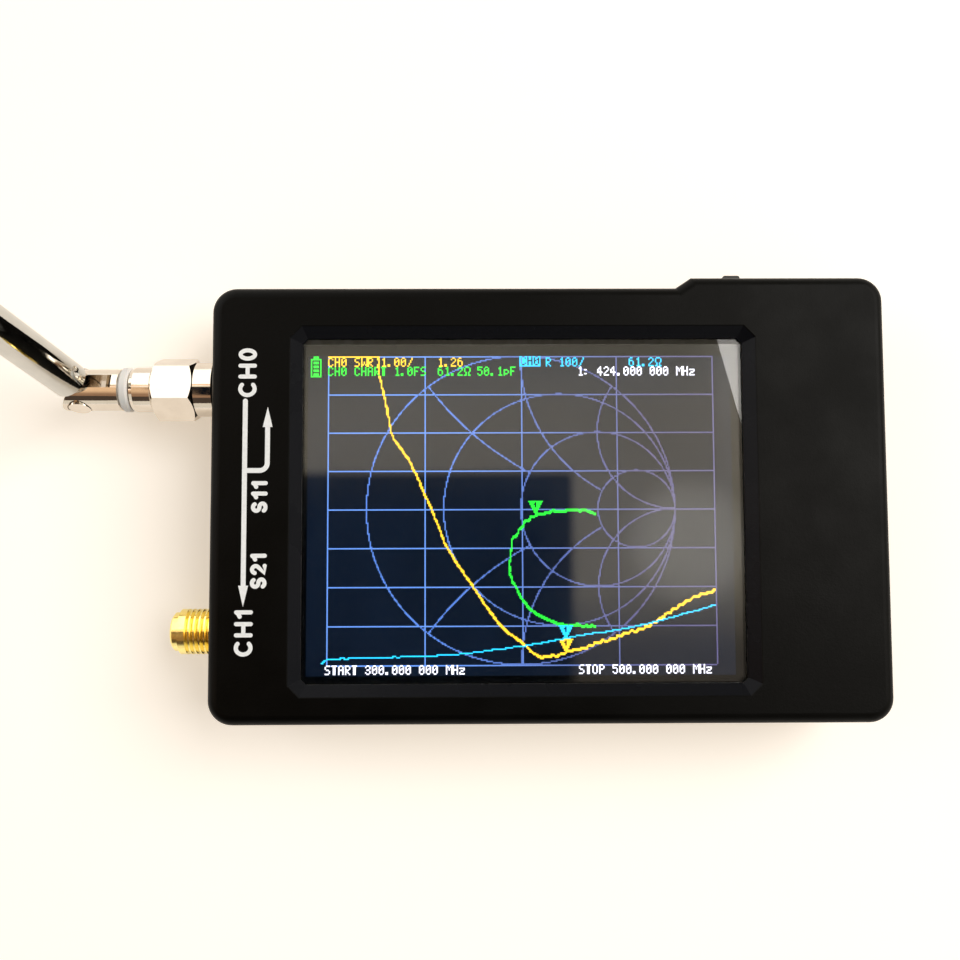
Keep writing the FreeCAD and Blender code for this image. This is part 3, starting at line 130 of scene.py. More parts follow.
def seen_ray(words):
    """One where a ray comes from the camera, or by way of glass or gloss, and zero elsewhere."""
    path = words.node("LightPath").outputs
    gloss = words.math("MAXIMUM", path["Is Glossy Ray"], path["Is Transmission Ray"])
    return words.math("MAXIMUM", path["Is Camera Ray"], gloss)


room = bpy.data.worlds.new("room")
room.use_nodes = True
bpy.context.scene.world = room
room.node_tree.nodes.clear()
air = Nodes(room.node_tree)
way = air.node("SeparateXYZ", {0: air.node("TexCoord").outputs["Generated"]}).outputs
height = air.math("MAXIMUM", way[2], 0.02)
across = air.math("DIVIDE", way[0], height)
along = air.math("DIVIDE", way[1], height)


def patch(left, right, low, high, soft):
    """A soft-edged rectangle on the ceiling one unit up, as a share from 0 to 1."""
    sides = air.math("MULTIPLY", air.ramp(across, left - soft, left + soft),
                     air.ramp(across, right + soft, right - soft))
    ends = air.math("MULTIPLY", air.ramp(along, low - soft, low + soft),
                    air.ramp(along, high + soft, high - soft))
    return air.math("MULTIPLY", sides, ends)


# what gloss and glass see of the room, later patches over earlier ones
HORIZON = (0.95, 0.90, 0.80, 1)
CEILING = (1.05, 0.92, 0.69, 1)
FAR_CEILING = (0.72, 0.66, 0.52, 1)
BRIGHT_WALL = (2.2, 2.1, 1.95, 1)
AMBER_EDGE = (1.3, 0.72, 0.33, 1)
DIM = (0.33, 0.28, 0.22, 1)
DIMMEST = (0.09, 0.065, 0.05, 1)
WARM = (1.15, 0.78, 0.48, 1)
WARM_DEEP = (0.42, 0.25, 0.15, 1)
BLACK_CORNER = (0.004, 0.006, 0.010, 1)
LAMP_SHEEN = (1.85, 1.7, 1.42, 1)
BELOW = (0.9, 0.88, 0.85, 1)

sky = air.mix(air.ramp(way[2], 0.1, 0.9), HORIZON, CEILING)
sky = air.mix(patch(-0.24, 3, 0.18, 3, 0.05), sky, FAR_CEILING)
sky = air.mix(patch(-9, -0.25, 0.13, 60, 0.03), sky, BRIGHT_WALL)
sky = air.mix(patch(-3, -0.25, 0.17, 0.27, 0.03), sky, AMBER_EDGE)
sky = air.mix(patch(-2.2, 0.55, -2.4, -0.075, 0.045), sky,
              air.mix(air.ramp(along, -0.9, -0.2), DIMMEST, DIM))
sky = air.mix(patch(-3, -0.30, -0.9, 0.10, 0.04), sky,
              air.mix(air.ramp(along, -0.65, -0.15), WARM_DEEP, WARM))
sky = air.mix(patch(-0.33, 0.105, -0.62, 0.072, 0.008), sky, BLACK_CORNER)
sheen_x = air.math("POWER", air.math("SUBTRACT", across, 0.227), 2)
sheen = air.ramp(air.math("ADD", sheen_x, air.math("POWER", along, 2)), 0.006, 0.0002)
sky = air.mix(sheen, sky, LAMP_SHEEN)
sky = air.mix(air.ramp(way[2], -0.05, 0.02), BELOW, sky)

plain = air.node("Background", {"Color": (1, 0.98, 0.94, 1), "Strength": 0.27})
mirrored = air.node("Background", {"Color": sky, "Strength": 1.0})
blank = air.node("Background", {"Color": (1, 1, 1, 1), "Strength": 1.0})
kinds = air.node("LightPath").outputs
shown = air.math("MAXIMUM", kinds["Is Glossy Ray"], kinds["Is Transmission Ray"])
behind = air.node("MixShader", {0: shown, 1: plain.outputs[0], 2: mirrored.outputs[0]})
behind = air.node("MixShader", {0: kinds["Is Camera Ray"], 1: behind.outputs[0], 2: blank.outputs[0]})
air.node("OutputWorld", {"Surface": behind.outputs[0]})


def sheet_of(name, corners, faces):
    """A mesh object from its points and faces, in metres."""
    data = bpy.data.meshes.new(name)
    data.from_pydata([tuple(point) for point in corners], [], faces)
    data.update()
    return add(name, data)


TABLE = 1.6
SHADE_GLOW = 0.49
FAR_GLOW = 0.95
table = sheet_of("table_top", [(x * TABLE, y * TABLE, 0) for x, y in ((-1, -1), (1, -1), (1, 1), (-1, 1))],
                 [(0, 1, 2, 3)])
paper = bpy.data.materials.new("white_table")
paper.use_nodes = True
paper.node_tree.nodes.clear()
top = Nodes(paper.node_tree)
lit = top.node("BsdfDiffuse", {"Color": (0.86, 0.85, 0.83, 1)})
reach = top.node("VectorMath", {0: top.node("TexCoord").outputs["Object"]}, operation="LENGTH")
away = top.ramp(reach.outputs["Value"], 0.14, 0.50)
level = top.math("MULTIPLY", seen_ray(top), top.ramp(away, 0, 1, SHADE_GLOW, FAR_GLOW))
# The table also glows for seen rays. Near the analyzer the glow is dimmer and warm, which paints a warm
# tint into the shadows there; far off it is white and keeps the far table white.
glow_and_shadow_tint = top.node("Emission", {"Color": top.mix(away, (1, 0.82, 0.62, 1), (1, 0.99, 0.97, 1)),
                             "Strength": level})
both = top.node("AddShader", {0: lit.outputs[0], 1: glow_and_shadow_tint.outputs[0]})
top.node("OutputMaterial", {"Surface": both.outputs[0]})
table.data.materials.append(paper)

# ---------------------------------------------------------------------------
# Front case
# One half of the moulded case, black ABS with a fine spark-eroded grain that is a little shinier
# where it is rubbed. Four screws from the back hold it on the rear half.


class Finish(Nodes):
    """A material with one main shader, whose constant values are set on its own sockets."""

    def __init__(self, name, base, rough, metal=0.0, **sockets):
        self.material = bpy.data.materials.new(name)
        self.material.use_nodes = True
        super().__init__(self.material.node_tree)
        self.shader = self.tree.nodes["Principled BSDF"]
        self.set("Base Color", base)
        self.set("Roughness", rough)
        self.set("Metallic", metal)
        for socket, value in sockets.items():
            self.set(socket.replace("_", " "), value)
        self.place = self.node("TexCoord").outputs["Object"]

    def set(self, socket, value):
        if isinstance(value, bpy.types.NodeSocket):
            self.tree.links.new(value, self.shader.inputs[socket])
        else:
            self.shader.inputs[socket].default_value = value

    def noise(self, size, detail=3.0, stretch=(1, 1, 1)):
        """Cloudy noise whose lumps are about size millimetres across."""
        scaled = self.node("Mapping", {"Vector": self.place, "Scale": stretch}).outputs[0]
        return self.node("TexNoise", {"Vector": scaled, "Scale": 1 / (size * MM),
                                      "Detail": detail}).outputs["Fac"]

    def cells(self, size):
        """Cell distances of a crystal or spangle about size millimetres across."""
        return self.node("TexVoronoi", {"Vector": self.place, "Scale": 1 / (size * MM)}).outputs["Distance"]

    def relief(self, *layers):
        """Bumps, each of a height source and its depth in millimetres."""
        normal = None
        for source, depth in layers:
            inputs = {"Height": source, "Distance": depth * MM, "Strength": 1.0}
            if normal is not None:
                inputs["Normal"] = normal
            normal = self.node("Bump", inputs).outputs[0]
        self.set("Normal", normal)


def wear(material, *nodes):
    """Give a finish to the part's own solids."""
    for name in nodes:
        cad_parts[name].material_slots[0].material = material


def moulded(name, base, rubbed, grain=0.22, depth=0.012, rough=0.5, shine=0.4):
    """A moulded plastic: fine grain, faint flow shading, and rubbed patches that shine more."""
    plastic = Finish(name, base, rough, Specular_IOR_Level=shine)
    smears = plastic.noise(9, 4)
    plastic.set("Base Color", plastic.mix(plastic.ramp(smears, 0.35, 0.7), base, rubbed))
    plastic.set("Roughness", plastic.ramp(smears, 0.3, 0.75, rough + 0.07, rough - 0.07))
    plastic.relief((plastic.noise(grain, 2), depth), (plastic.noise(grain * 3, 2), depth * 0.6))
    return plastic


case = moulded("black_case_plastic", colour(7, 7, 6), colour(10, 10, 9), rough=0.38, shine=0.07)
grain_gloss = case.shader.inputs["Roughness"].links[0].from_socket
grain_colour = case.shader.inputs["Base Color"].links[0].from_socket
side = case.node("SeparateXYZ", {0: case.place}).outputs
# Painted sheen: the window bevel, below the face and inside the window's edges, is painted a lighter bluish
# grey than the rest of the case, and it is also made a little glossier.
bevel_sheen = case.math("MULTIPLY", case.ramp(side[2], 16.95 * MM, 16.85 * MM),
                  case.ramp(case.math("ABSOLUTE", side[1]), 27.7 * MM, 27.5 * MM))
bevel_sheen = case.math("MULTIPLY", bevel_sheen, case.ramp(case.math("ABSOLUTE", side[0]), 40 * MM, 39.5 * MM))
case.set("Roughness", case.math("SUBTRACT", grain_gloss, case.math("MULTIPLY", bevel_sheen, 0.12)))
case.set("Base Color", case.mix(bevel_sheen, grain_colour, colour(21, 22, 26)))
wear(case.material, "front_case", "rear_case")

# ---------------------------------------------------------------------------
# Print on the face
# White ink, pad printed beside the ports: the two channel names, the two path names, and the arrows
# from the upper port to the lower one and back to itself.

FACE = 17.0
INK = 0.03
PEN = 0.55


def solid_of(name, rings, low, high, material, step=0.0):
    """Flat plates in one mesh, from rings of points in millimetres; each is a step higher than the last."""
    points = []
    faces = []
    for ring in rings:
        first = len(points)
        count = len(ring)
        points += [spot((x, y, low)) for x, y in ring] + [spot((x, y, high)) for x, y in ring]
        high += step
        faces.append(tuple(range(first + count, first + 2 * count)))
        faces.append(tuple(reversed(range(first, first + count))))
        for index in range(count):
            after = (index + 1) % count
            faces.append((first + index, first + after, first + count + after, first + count + index))
    made = sheet_of(name, points, faces)
    made.data.materials.append(material)
    return made


def arc(middle, radius, start, end, steps=14):
    """Points along an arc, with its angles in degrees."""
    return [(middle[0] + radius[0] * math.cos(math.radians(start + (end - start) * step / steps)),
             middle[1] + radius[1] * math.sin(math.radians(start + (end - start) * step / steps)))
            for step in range(steps + 1)]


def stroke(line, pen):
    """The outline of a pen stroke with round ends along a line."""
    here = [Vector(point) for point in line]
    sides = []
    for index, point in enumerate(here):
        before = here[max(index - 1, 0)]
        after = here[min(index + 1, len(here) - 1)]
        run = (after - before).normalized()
        sides.append(Vector((-run.y, run.x)) * pen / 2)
    left = [point + side for point, side in zip(here, sides)]
    right = [point - side for point, side in zip(here, sides)]

    def end(point, side):
        start = math.degrees(math.atan2(side.y, side.x))
        return arc(point, (pen / 2, pen / 2), start, start - 180, 8)[1:-1]

    return left + end(here[-1], sides[-1]) + right[::-1] + end(here[0], -sides[0])


# letter shapes, one unit high: each is its width and its strokes
LETTERS = {
    "C": (0.80, [arc((0.44, 0.5), (0.44, 0.5), 50, 310, 24)]),
    "H": (0.76, [[(0, 0), (0, 1)], [(0.76, 0), (0.76, 1)], [(0, 0.5), (0.76, 0.5)]]),
    "0": (0.58, [arc((0.29, 0.5), (0.29, 0.5), 90, 270, 16), arc((0.29, 0.5), (0.29, 0.5), 270, 450, 16)]),
    "1": (0.34, [[(0.30, 0), (0.30, 1)], [(0.30, 1), (0.2, 0.87), (0, 0.76)]]),
    "2": (0.58, [arc((0.28, 0.71), (0.28, 0.29), 165, -35, 16) + [(0, 0), (0.58, 0)]]),
    "S": (0.60, [arc((0.3, 0.745), (0.28, 0.255), 28, 270, 16) + arc((0.3, 0.245), (0.3, 0.245), 90, -152,
                                                                    16)[1:]]),
}


def printed(word, middle, tall, gap=0.5):
    """The strokes of a word that reads up the face, centred on a place."""
    inner = tall - PEN
    wide = sum(LETTERS[letter][0] for letter in word) + gap * (len(word) - 1)
    at = -wide / 2
    found = []
    for letter in word:
        width, lines = LETTERS[letter]
        for line in lines:
            turned = [(middle[0] - (y - 0.5) * inner, middle[1] + (at + x) * inner) for x, y in line]
            found.append(stroke(turned, PEN))
        at += width + gap
    return found


def arrow(tip, run, long, wide):
    """An arrow head with its tip at a place."""
    ahead = Vector(run)
    side = Vector((-ahead.y, ahead.x))
    end = Vector(tip)
    root = end - ahead * long
    return [tuple(end), tuple(root + side * wide / 2), tuple(root - side * wide / 2)]


ink = Finish("white_ink", colour(255, 255, 252), 0.45)
ink.set("Base Color", ink.mix(ink.ramp(ink.noise(0.5, 3), 0.3, 0.7), colour(255, 255, 252),
                              colour(246, 246, 243)))
ink.relief((ink.noise(0.12, 2), 0.006))

SUNK = 0.01
STROKE_STEP = 0.004
LABEL_STEP = 0.002
LINE = 0.65
LINE_X = -40.6
BRANCH_X = -37.6
BRANCH_Y = 4.4
bend = arc((BRANCH_X - 1.0, BRANCH_Y + 1.0), (1.0, 1.0), -90, 0, 8)
LABELS = {
    "label_port_out": printed("CH0", (-40.35, 17.5), 2.47),
    "label_port_in": printed("CH1", (-40.5, -17.0), 2.47),
    "label_path_back": printed("S11", (-38.6, 0.9), 2.2),
    "label_path_through": printed("S21", (-38.63, -8.9), 2.2),
    "arrow_through": [stroke([(LINE_X, 13.7), (LINE_X, -10.9)], LINE),
                      arrow((LINE_X, -13.6), (0, -1), 2.8, 1.3)],
    "arrow_back": [stroke([(LINE_X, BRANCH_Y)] + bend + [(BRANCH_X, 10.4)], LINE),
                   arrow((BRANCH_X, 12.9), (0, 1), 2.7, 1.3)],
}
for order, (name, rings) in enumerate(LABELS.items()):
    label = solid_of(name, rings, FACE - SUNK, FACE + INK + LABEL_STEP * order, ink.material, STROKE_STEP)
    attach(label, "analyzer")

# ---------------------------------------------------------------------------
# Display
# A 2.8 inch, 320 by 240 colour panel in a tray with its light guide, under a glued touch glass. A foam
# frame seals the glass to the window, and tape holds the tray down on the board.

DOT = 0.18
IMAGE_LEFT = -32.71
IMAGE_TOP = 20.17
IMAGE_RIGHT = 24.89
IMAGE_LOW = -23.03
PICTURE = 14.115

glass = Finish("touch_glass", (1, 1, 1, 1), 0.0, IOR=1.5)
glass.set("Transmission Weight", 1.0)
glass.set("Base Color", glass.mix(glass.ramp(glass.noise(9, 3), 0.4, 0.7), (1, 1, 1, 1),
                                  (0.97, 0.975, 0.97, 1)))
wear(glass.material, "touch_panel")

panel = Finish("dark_panel", (0.003, 0.004, 0.005, 1), 0.12, IOR=1.35)
where = panel.node("SeparateXYZ", {0: panel.place}).outputs
EDGE = 0.06
lit = panel.math("MULTIPLY", panel.ramp(where[0], (IMAGE_LEFT - EDGE) * MM, (IMAGE_LEFT + EDGE) * MM),
                 panel.ramp(where[0], (IMAGE_RIGHT + EDGE) * MM, (IMAGE_RIGHT - EDGE) * MM))
lit = panel.math("MULTIPLY", lit, panel.ramp(where[1], (IMAGE_LOW - EDGE) * MM, (IMAGE_LOW + EDGE) * MM))
lit = panel.math("MULTIPLY", lit, panel.ramp(where[1], (IMAGE_TOP + EDGE) * MM, (IMAGE_TOP - EDGE) * MM))
panel.set("Emission Color", (0.18, 0.41, 1.0, 1))
panel.set("Emission Strength", panel.math("MULTIPLY", lit, panel.ramp(panel.noise(14, 2), 0.3, 0.8,
                                                                      0.019, 0.027)))
wear(panel.material, "lcd_panel")

foam = Finish("black_foam", colour(24, 24, 26), 0.9)
foam.relief((foam.cells(0.25), 0.05))
wear(foam.material, "window_gasket")

tape = Finish("clear_tape", colour(190, 188, 178), 0.35)
tape.set("Base Color", tape.mix(tape.ramp(tape.noise(2.5, 3), 0.4, 0.6), colour(196, 194, 184),
                                colour(172, 168, 156)))
tape.relief((tape.noise(0.6, 3), 0.01))
wear(tape.material, "touch_adhesive", "display_tape", "battery_tape")

wear(moulded("white_tray_plastic", colour(214, 215, 210), colour(222, 222, 218), 0.3, 0.008).material,
     "backlight_tray")

guide = Finish("light_guide", (0.93, 0.95, 0.95, 1), 0.05, IOR=1.49)
guide.set("Transmission Weight", 0.85)
guide.relief((guide.cells(0.35), 0.02))
wear(guide.material, "light_guide")


def dots(*cells):
    """Runs of lit dots, merged along each row into the fewest strips: (first, last, row)."""
    runs = []
    for column, row in sorted(set().union(*cells), key=lambda cell: (cell[1], cell[0])):
        if runs and runs[-1][2] == row and runs[-1][1] == column - 1:
            runs[-1][1] = column
        else:
            runs.append([column, column, row])
    return runs


def lit_picture(name, cells, level, bright, strength, fade=None):
    """Dots of one colour in the panel's picture plane, as thin strips that shine."""
    rings = []
    for first, last, row in dots(cells):
        left = IMAGE_LEFT + first * DOT
        right = IMAGE_LEFT + (last + 1) * DOT
        upper = IMAGE_TOP - row * DOT
        rings.append([(left, upper - DOT), (right, upper - DOT), (right, upper), (left, upper)])
    shine = Finish(name, (0, 0, 0, 1), 0.3)
    shine.set("Emission Color", bright)
    if fade:
        run = shine.node("SeparateXYZ", {0: shine.place}).outputs[0]
        shine.set("Emission Color", shine.mix(shine.ramp(run, fade[1] * MM, fade[2] * MM), bright, fade[0]))
    columns = shine.node("TexWave", {"Vector": shine.place, "Scale": math.pi / 10 / (DOT * MM)},
                         bands_direction="X").outputs["Fac"]
    shine.set("Emission Strength", shine.ramp(columns, 0, 1, strength * 1.12, strength * 0.88))
    made = solid_of(name, rings, level - 0.012, level, shine.material)
    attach(made, "analyzer")
    return made


GRID_LEFT = 15
GRID_WIDE = 291
GRID_HIGH = 232
CHART_X = 160.5
CHART_Y = GRID_HIGH / 2
CHART_R = GRID_HIGH / 2


def ring_at(column, row, middle_x, middle_y, radius):
    """-1 outside a circle, 0 on its line and 1 inside it, at the middle of a dot."""
    gap = radius - math.hypot(column + 0.5 - middle_x, row + 0.5 - middle_y)
    return 0 if abs(gap) < 0.55 else math.copysign(1, gap)


def on_chart(column, row):
    """Whether a dot is on the impedance chart: circles of resistance, arcs of reactance."""
    edge = CHART_X + CHART_R
    outer = ring_at(column, row, CHART_X, CHART_Y, CHART_R)
    if outer <= 0:
        return outer == 0
    if any(ring_at(column, row, edge, CHART_Y + side * CHART_R / 2, CHART_R / 2) == 0 for side in (-1, 1)):
        return True
    for share, times in ((0.25, 1), (0.5, 2)):
        circle = ring_at(column, row, edge - CHART_R * share, CHART_Y, CHART_R * share)
        if circle >= 0:
            return circle == 0
        if any(ring_at(column, row, edge, CHART_Y + side * CHART_R * times, CHART_R * times) == 0
               for side in (-1, 1)):
            return True
    return ring_at(column, row, edge - CHART_R * 0.75, CHART_Y, CHART_R * 0.75) == 0


chart = {(column, row) for column in range(GRID_LEFT, GRID_LEFT + GRID_WIDE) for row in range(GRID_HIGH)
         if on_chart(column, row)}
grid = {(GRID_LEFT + round(step * GRID_WIDE / 4), row) for step in range(5) for row in range(GRID_HIGH)}
grid |= {(column, step * GRID_HIGH // 8) for step in range(9) for column in range(GRID_LEFT,
                                                                                    GRID_LEFT + GRID_WIDE)}


def trace(points, shake=0.8, rows=(0, 1)):
    """The dots of a measured curve through a few points, with the small steps of a sweep."""
    found = set()
    for index in range(len(points) - 1):
        one = Vector(points[max(index - 1, 0)])
        two = Vector(points[index])
        three = Vector(points[index + 1])
        four = Vector(points[min(index + 2, len(points) - 1)])
        steps = int((three - two).length * 3) + 1
        for step in range(steps + 1):
            t = step / steps
            place = 0.5 * (2 * two + (three - one) * t + (2 * one - 5 * two + 4 * three - four) * t ** 2
                           + (3 * two - one - 3 * three + four) * t ** 3)
            wobble = math.sin(place.x * 0.83 + place.y * 0.31) * math.sin(place.x * 0.29 - place.y * 0.47)
            column = int(place.x + shake * wobble)
            row = int(place.y + shake * wobble)
            found |= {(column, row + lower) for lower in rows if GRID_HIGH > row + lower >= 0}
    return found


# the sweep: standing wave ratio, resistance, and the reflection round the chart
RATIO = [(52.7, -1), (53.9, 14), (58.6, 36), (64.0, 60), (73.3, 74), (80.1, 86), (96.7, 124), (104.9, 144),
         (124.3, 173.6), (144.4, 201.9), (160.7, 215), (174, 225.5), (193.5, 222.8), (232.4, 211),
         (256.4, 202), (286.7, 184.2), (305, 176.5)]
RESISTANCE = [(12, 230.5), (20, 227.5), (66.9, 226), (107.8, 224.5), (139.8, 221), (171.9, 216.5),
              (204, 210.5), (231.7, 206.5), (256.4, 201.5), (277.5, 196), (305.3, 188.5)]
REFLECTION = [(216, 119.5), (207, 116.5), (186, 117.5), (172.6, 120), (161.2, 128.5), (153.7, 141.6),
              (152.1, 156.5), (153.5, 168), (161, 182.6), (168.3, 191.6), (178.7, 197.5), (190, 202),
              (200, 202.5), (215.3, 203.5)]


def pointer(tip_x, tip_y, half=5, high=10):
    """A marker: a triangle on its point, with its number left dark."""
    number = {(tip_x, tip_y - high + 2 + row) for row in range(4)} | {(tip_x - 1, tip_y - high + 3)}
    return {(tip_x + side, tip_y - high + 1 + row) for row in range(high) for side in range(-half, half + 1)
            if abs(side) <= half * (high - row) / high} - number


# the read-outs, in a face of dots seven high: each letter is its rows from the top, as binary words
DOT_LETTERS = {
    "0": "0110 1001 1011 1101 1001 1001 0110", "1": "0010 0110 0010 0010 0010 0010 0111",
    "2": "0110 1001 0001 0010 0100 1000 1111", "3": "0110 1001 0001 0110 0001 1001 0110",
    "4": "0010 0110 1010 1010 1111 0010 0010", "5": "1111 1000 1110 0001 0001 1001 0110",
    "6": "0110 1000 1110 1001 1001 1001 0110", "A": "0110 1001 1001 1111 1001 1001 1001",
    "C": "0110 1001 1000 1000 1000 1001 0110", "F": "1111 1000 1000 1110 1000 1000 1000",
    "H": "1001 1001 1001 1111 1001 1001 1001", "M": "10001 11011 10101 10101 10001 10001 10001",
    "O": "0110 1001 1001 1001 1001 1001 0110", "P": "1110 1001 1001 1110 1000 1000 1000",
    "R": "1110 1001 1001 1110 1100 1010 1001", "S": "0111 1000 1000 0110 0001 0001 1110",
    "T": "1111 0110 0110 0110 0110 0110 0110", "W": "10001 10001 10001 10101 10101 11011 10001",
    "p": "0000 0000 1110 1001 1001 1110 1000", "z": "0000 0000 1111 0001 0110 1000 1111",
    "o": "01110 10001 10001 10001 01010 01010 11011", ".": "0 0 0 0 0 11 11",
    ":": "00 00 11 00 00 11 00", "/": "0001 0001 0010 0010 0100 0100 1000", " ": "0 0 0 0 0 0 0",
}


def reading(text, column, row):
    """The dots of a read-out that starts at a column and a row. A small o stands for the ohm sign."""
    found = set()
    for letter in text:
        rows = DOT_LETTERS[letter].split()
        found |= {(column + x, row + y) for y, bits in enumerate(rows) for x, bit in enumerate(bits)
                  if bit == "1"}
        column += 5
    return found


# a battery with its bars and its terminal, and a channel name left dark in a filled block
charge = {(column, row) for column in range(2, 10) for row in range(2, 16)}
charge -= {(column, row) for column in range(3, 9) for row in range(3, 15)
           if column in (3, 8) or row % 3 == 0}
charge |= {(column, row) for column in (4, 5, 6, 7) for row in (0, 1)}
block = {(column, row) for column in range(160, 176) for row in range(0, 8)} - reading("CH0", 161, 0)

amber = trace(RATIO) | pointer(193, 222) | reading("CH0 SWR 1.00/", 15, 1) | reading("1.26", 98, 1)
amber |= {(column, 0) for column in range(GRID_LEFT, 54)}
cyan = trace(RESISTANCE, 0.2, (0,)) | pointer(193, 212) | block
cyan |= reading("R 100/", 180, 1) | reading("61.2o", 243, 1)
green = trace(REFLECTION) | pointer(171, 119) | charge
green |= reading("CH0 CHART 1.0FS", 15, 8) | reading("61.2o 50.1pF", 98, 8)
pale = reading("1: 424.000 000 MHz", 204, 8) | reading("START 300.000 000 MHz", 14, 232)
pale |= reading("STOP 500.000 000 MHz", 203, 232)

DIM_VIOLET = colour(92, 88, 140)
lit_picture("picture_grid", grid - chart, PICTURE, colour(108, 160, 255), 1.15, (DIM_VIOLET, -20, 20))
lit_picture("picture_chart", chart, PICTURE, colour(100, 150, 252), 1.0, (DIM_VIOLET, -20, 16))
lit_picture("picture_resistance", cyan, PICTURE + 0.02, colour(40, 200, 255), 1.7)
lit_picture("picture_reflection", green - cyan, PICTURE + 0.02, colour(40, 245, 60), 1.5)
lit_picture("picture_ratio", amber - cyan, PICTURE + 0.02, colour(255, 205, 50), 1.7)
lit_picture("picture_readings", pale, PICTURE + 0.02, colour(240, 240, 255), 2.0)

film = Finish("amber_film", colour(176, 104, 28), 0.25, Coat_Weight=0.5)
lines = film.node("TexWave", {"Vector": film.place, "Scale": 180.0}, bands_direction="Y").outputs["Fac"]
film.set("Base Color", film.mix(film.ramp(lines, 0.45, 0.55), colour(176, 104, 28), colour(206, 140, 52)))
film.relief((lines, 0.02))
wear(film.material, "display_flex")

# ---------------------------------------------------------------------------
# Main board
# Glass-epoxy laminate with a black solder mask, gold-flashed lands and copper runs that show through
# as faint ridges. Two tinned cans screen the radio stages, and the chips sit on its back.

board = Finish("board_laminate", colour(20, 24, 28), 0.32)
runs_x = board.node("TexWave", {"Vector": board.place, "Scale": 240.0, "Distortion": 6.0,
                                "Detail": 1.0}, bands_direction="X").outputs["Fac"]
runs_y = board.node("TexWave", {"Vector": board.place, "Scale": 190.0, "Distortion": 8.0,
                                "Detail": 1.0}, bands_direction="Y").outputs["Fac"]
runs = board.math("MAXIMUM", board.ramp(runs_x, 0.75, 0.85), board.ramp(runs_y, 0.78, 0.88))
lands = board.ramp(board.cells(1.9), 0.16, 0.13)
board.set("Base Color", board.mix(lands, board.mix(runs, colour(18, 22, 26), colour(34, 42, 46)),
                                  colour(214, 178, 92)))
board.relief((runs, 0.03), (lands, 0.02))
wear(board.material, "main_board")


def plate(name, base, other, rough, size, *, cells=False, brushed=None):
    """A bright metal surface: cloudy or spangled colour, uneven shine and light scratches."""
    metal = Finish(name, base, rough, 1.0)
    cloud = metal.cells(size) if cells else metal.noise(size, 4)
    metal.set("Base Color", metal.mix(metal.ramp(cloud, 0.25, 0.75), base, other))
    metal.set("Roughness", metal.ramp(metal.noise(size * 0.6, 4), 0.3, 0.75, rough * 0.7, rough * 1.4))
    scratch = metal.noise(0.15, 2, brushed or (1, 1, 1))
    metal.relief((scratch, 0.0015 if brushed is None else 0.003))
    return metal.material


tinned = plate("tinned_steel", colour(196, 198, 200), colour(172, 174, 178), 0.24, 1.4, cells=True)
wear(tinned, "shield_can_out", "shield_can_in", "power_housing", "usb_shell")

resin = Finish("chip_resin", colour(30, 30, 32), 0.55)
resin.set("Base Color", resin.mix(resin.ramp(resin.noise(0.12, 3), 0.35, 0.65), colour(27, 27, 29),
                                  colour(38, 38, 40)))
resin.relief((resin.noise(0.08, 3), 0.01))
wear(resin.material, "mixer_chips", "processor_chip", "clock_chip")

wear(moulded("black_connector_plastic", colour(26, 26, 27), colour(32, 32, 33), 0.15, 0.006, 0.42).material,
     "flex_connector", "jog_housing", "jog_carrier", "usb_tongue")

# ---------------------------------------------------------------------------
# Ports
# Two gold-plated threaded sockets, soldered by four legs to the board's edge, each with a white fluoro-
# plastic insulator round a split spring contact. A rubber ring sits behind the upper port's nut.

gilt = plate("gold_plate", colour(255, 238, 160), colour(252, 226, 132), 0.19, 2.2)
wear(gilt, "socket_out_shell", "socket_in_shell", "socket_out_contact", "socket_in_contact", "plug_pin")

fluoro = Finish("white_fluoroplastic", colour(232, 232, 228), 0.42)
fluoro.set("Subsurface Weight", 0.25)
fluoro.set("Subsurface Radius", (0.0006, 0.0005, 0.0004))
fluoro.set("Roughness", fluoro.ramp(fluoro.noise(0.8, 3), 0.3, 0.7, 0.36, 0.5))
fluoro.relief((fluoro.noise(0.3, 3), 0.004))
wear(fluoro.material, "socket_out_insulator", "socket_in_insulator", "plug_insulator")

rubber = Finish("black_rubber", colour(14, 14, 14), 0.75, Specular_IOR_Level=0.12)
rubber.set("Roughness", rubber.ramp(rubber.noise(1.5, 4), 0.3, 0.7, 0.66, 0.85))
rubber.relief((rubber.noise(0.2, 3), 0.02))
wear(rubber.material, "port_washer")

# ---------------------------------------------------------------------------
# Jog lever and power slider
# Both are moulded in matt black nylon. The lever pokes out of the raised part of the top edge, and the
# slider sits in a thumb scallop beside it.

wear(moulded("black_nylon", colour(28, 28, 28), colour(40, 40, 39), 0.18, 0.01, 0.48).material,
     "jog_lever", "power_slider")

# ---------------------------------------------------------------------------
# Battery
# A flat lithium pouch in an aluminium laminate, taped to the rear case. Two insulated leads run to a
# small crimp plug that sits in a header on the board.

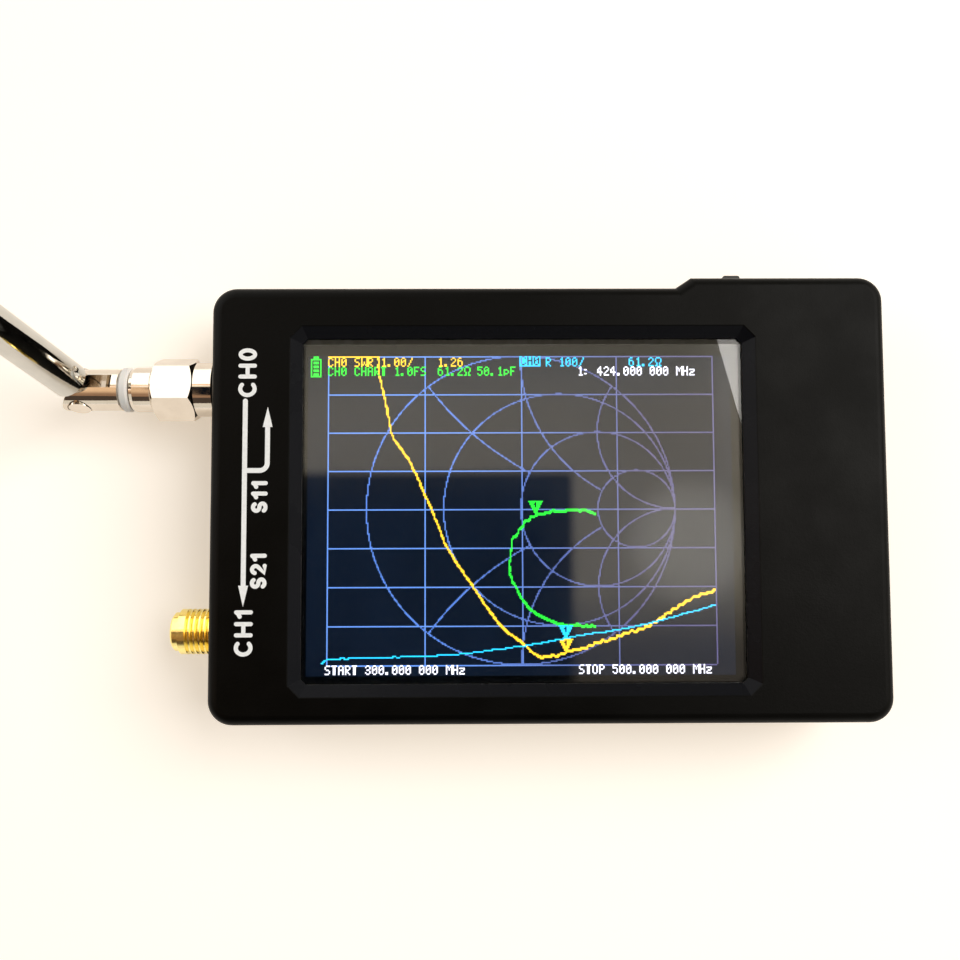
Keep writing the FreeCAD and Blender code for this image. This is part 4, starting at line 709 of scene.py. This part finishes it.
foil = plate("pouch_foil", colour(186, 188, 190), colour(168, 170, 174), 0.33, 3.5)
wear(foil, "battery_cell")
wear(moulded("white_nylon", colour(226, 224, 214), colour(232, 230, 222), 0.25, 0.006).material,
     "battery_header", "battery_plug")
leads = Finish("lead_rubber", colour(150, 24, 22), 0.5)
leads.set("Base Color", leads.mix(leads.ramp(leads.node("SeparateXYZ", {0: leads.place}).outputs[1],
                                             -0.0001, 0.0001), colour(22, 22, 23), colour(176, 26, 24)))
leads.relief((leads.noise(0.3, 2), 0.01))
wear(leads.material, "battery_leads")

# ---------------------------------------------------------------------------
# Case screws
# Self-tapping steel screws, black zinc plated, with a cross recess. They pass through the rear case and
# the board into bosses of the front case.

blackened = plate("black_zinc", colour(62, 62, 64), colour(48, 48, 50), 0.34, 0.9)
wear(blackened, "case_screws", "nut_ring")

# ---------------------------------------------------------------------------
# Antenna plug, nut and swivel
# Turned brass, nickel plated and polished. The nut turns freely behind a split ring, and a white plastic
# bush lets the slotted clevis turn on the barrel. A rivet pin is the elbow's axle.

bright = plate("bright_nickel", colour(220, 211, 199), colour(210, 200, 187), 0.075, 2.6)
wear(bright, "coupling_nut", "plug_barrel", "swivel_clevis", "elbow_pin", "whip_knuckle")

bush = Finish("white_acetal", colour(240, 236, 230), 0.36)
bush.set("Subsurface Weight", 0.2)
bush.set("Subsurface Radius", (0.0006, 0.0005, 0.0004))
bush.set("Roughness", bush.ramp(bush.noise(1.2, 3), 0.3, 0.7, 0.3, 0.44))
bush.relief((bush.noise(0.4, 3), 0.004))
wear(bush.material, "swivel_bush")

# ---------------------------------------------------------------------------
# Telescopic whip
# Drawn brass tubes, chrome plated, that slide in each other. Each mouth is rolled in a little, which
# stops the next tube's collar, and the last is a rod with a turned cap.

chrome = plate("bright_chrome", colour(200, 198, 192), colour(190, 189, 184), 0.06, 3.0,
               brushed=(1.2, 1.2, 0.15))
wear(chrome, "whip_tube_1", "whip_tube_2", "whip_tube_3", "whip_tube_4", "whip_rod", "whip_cap")
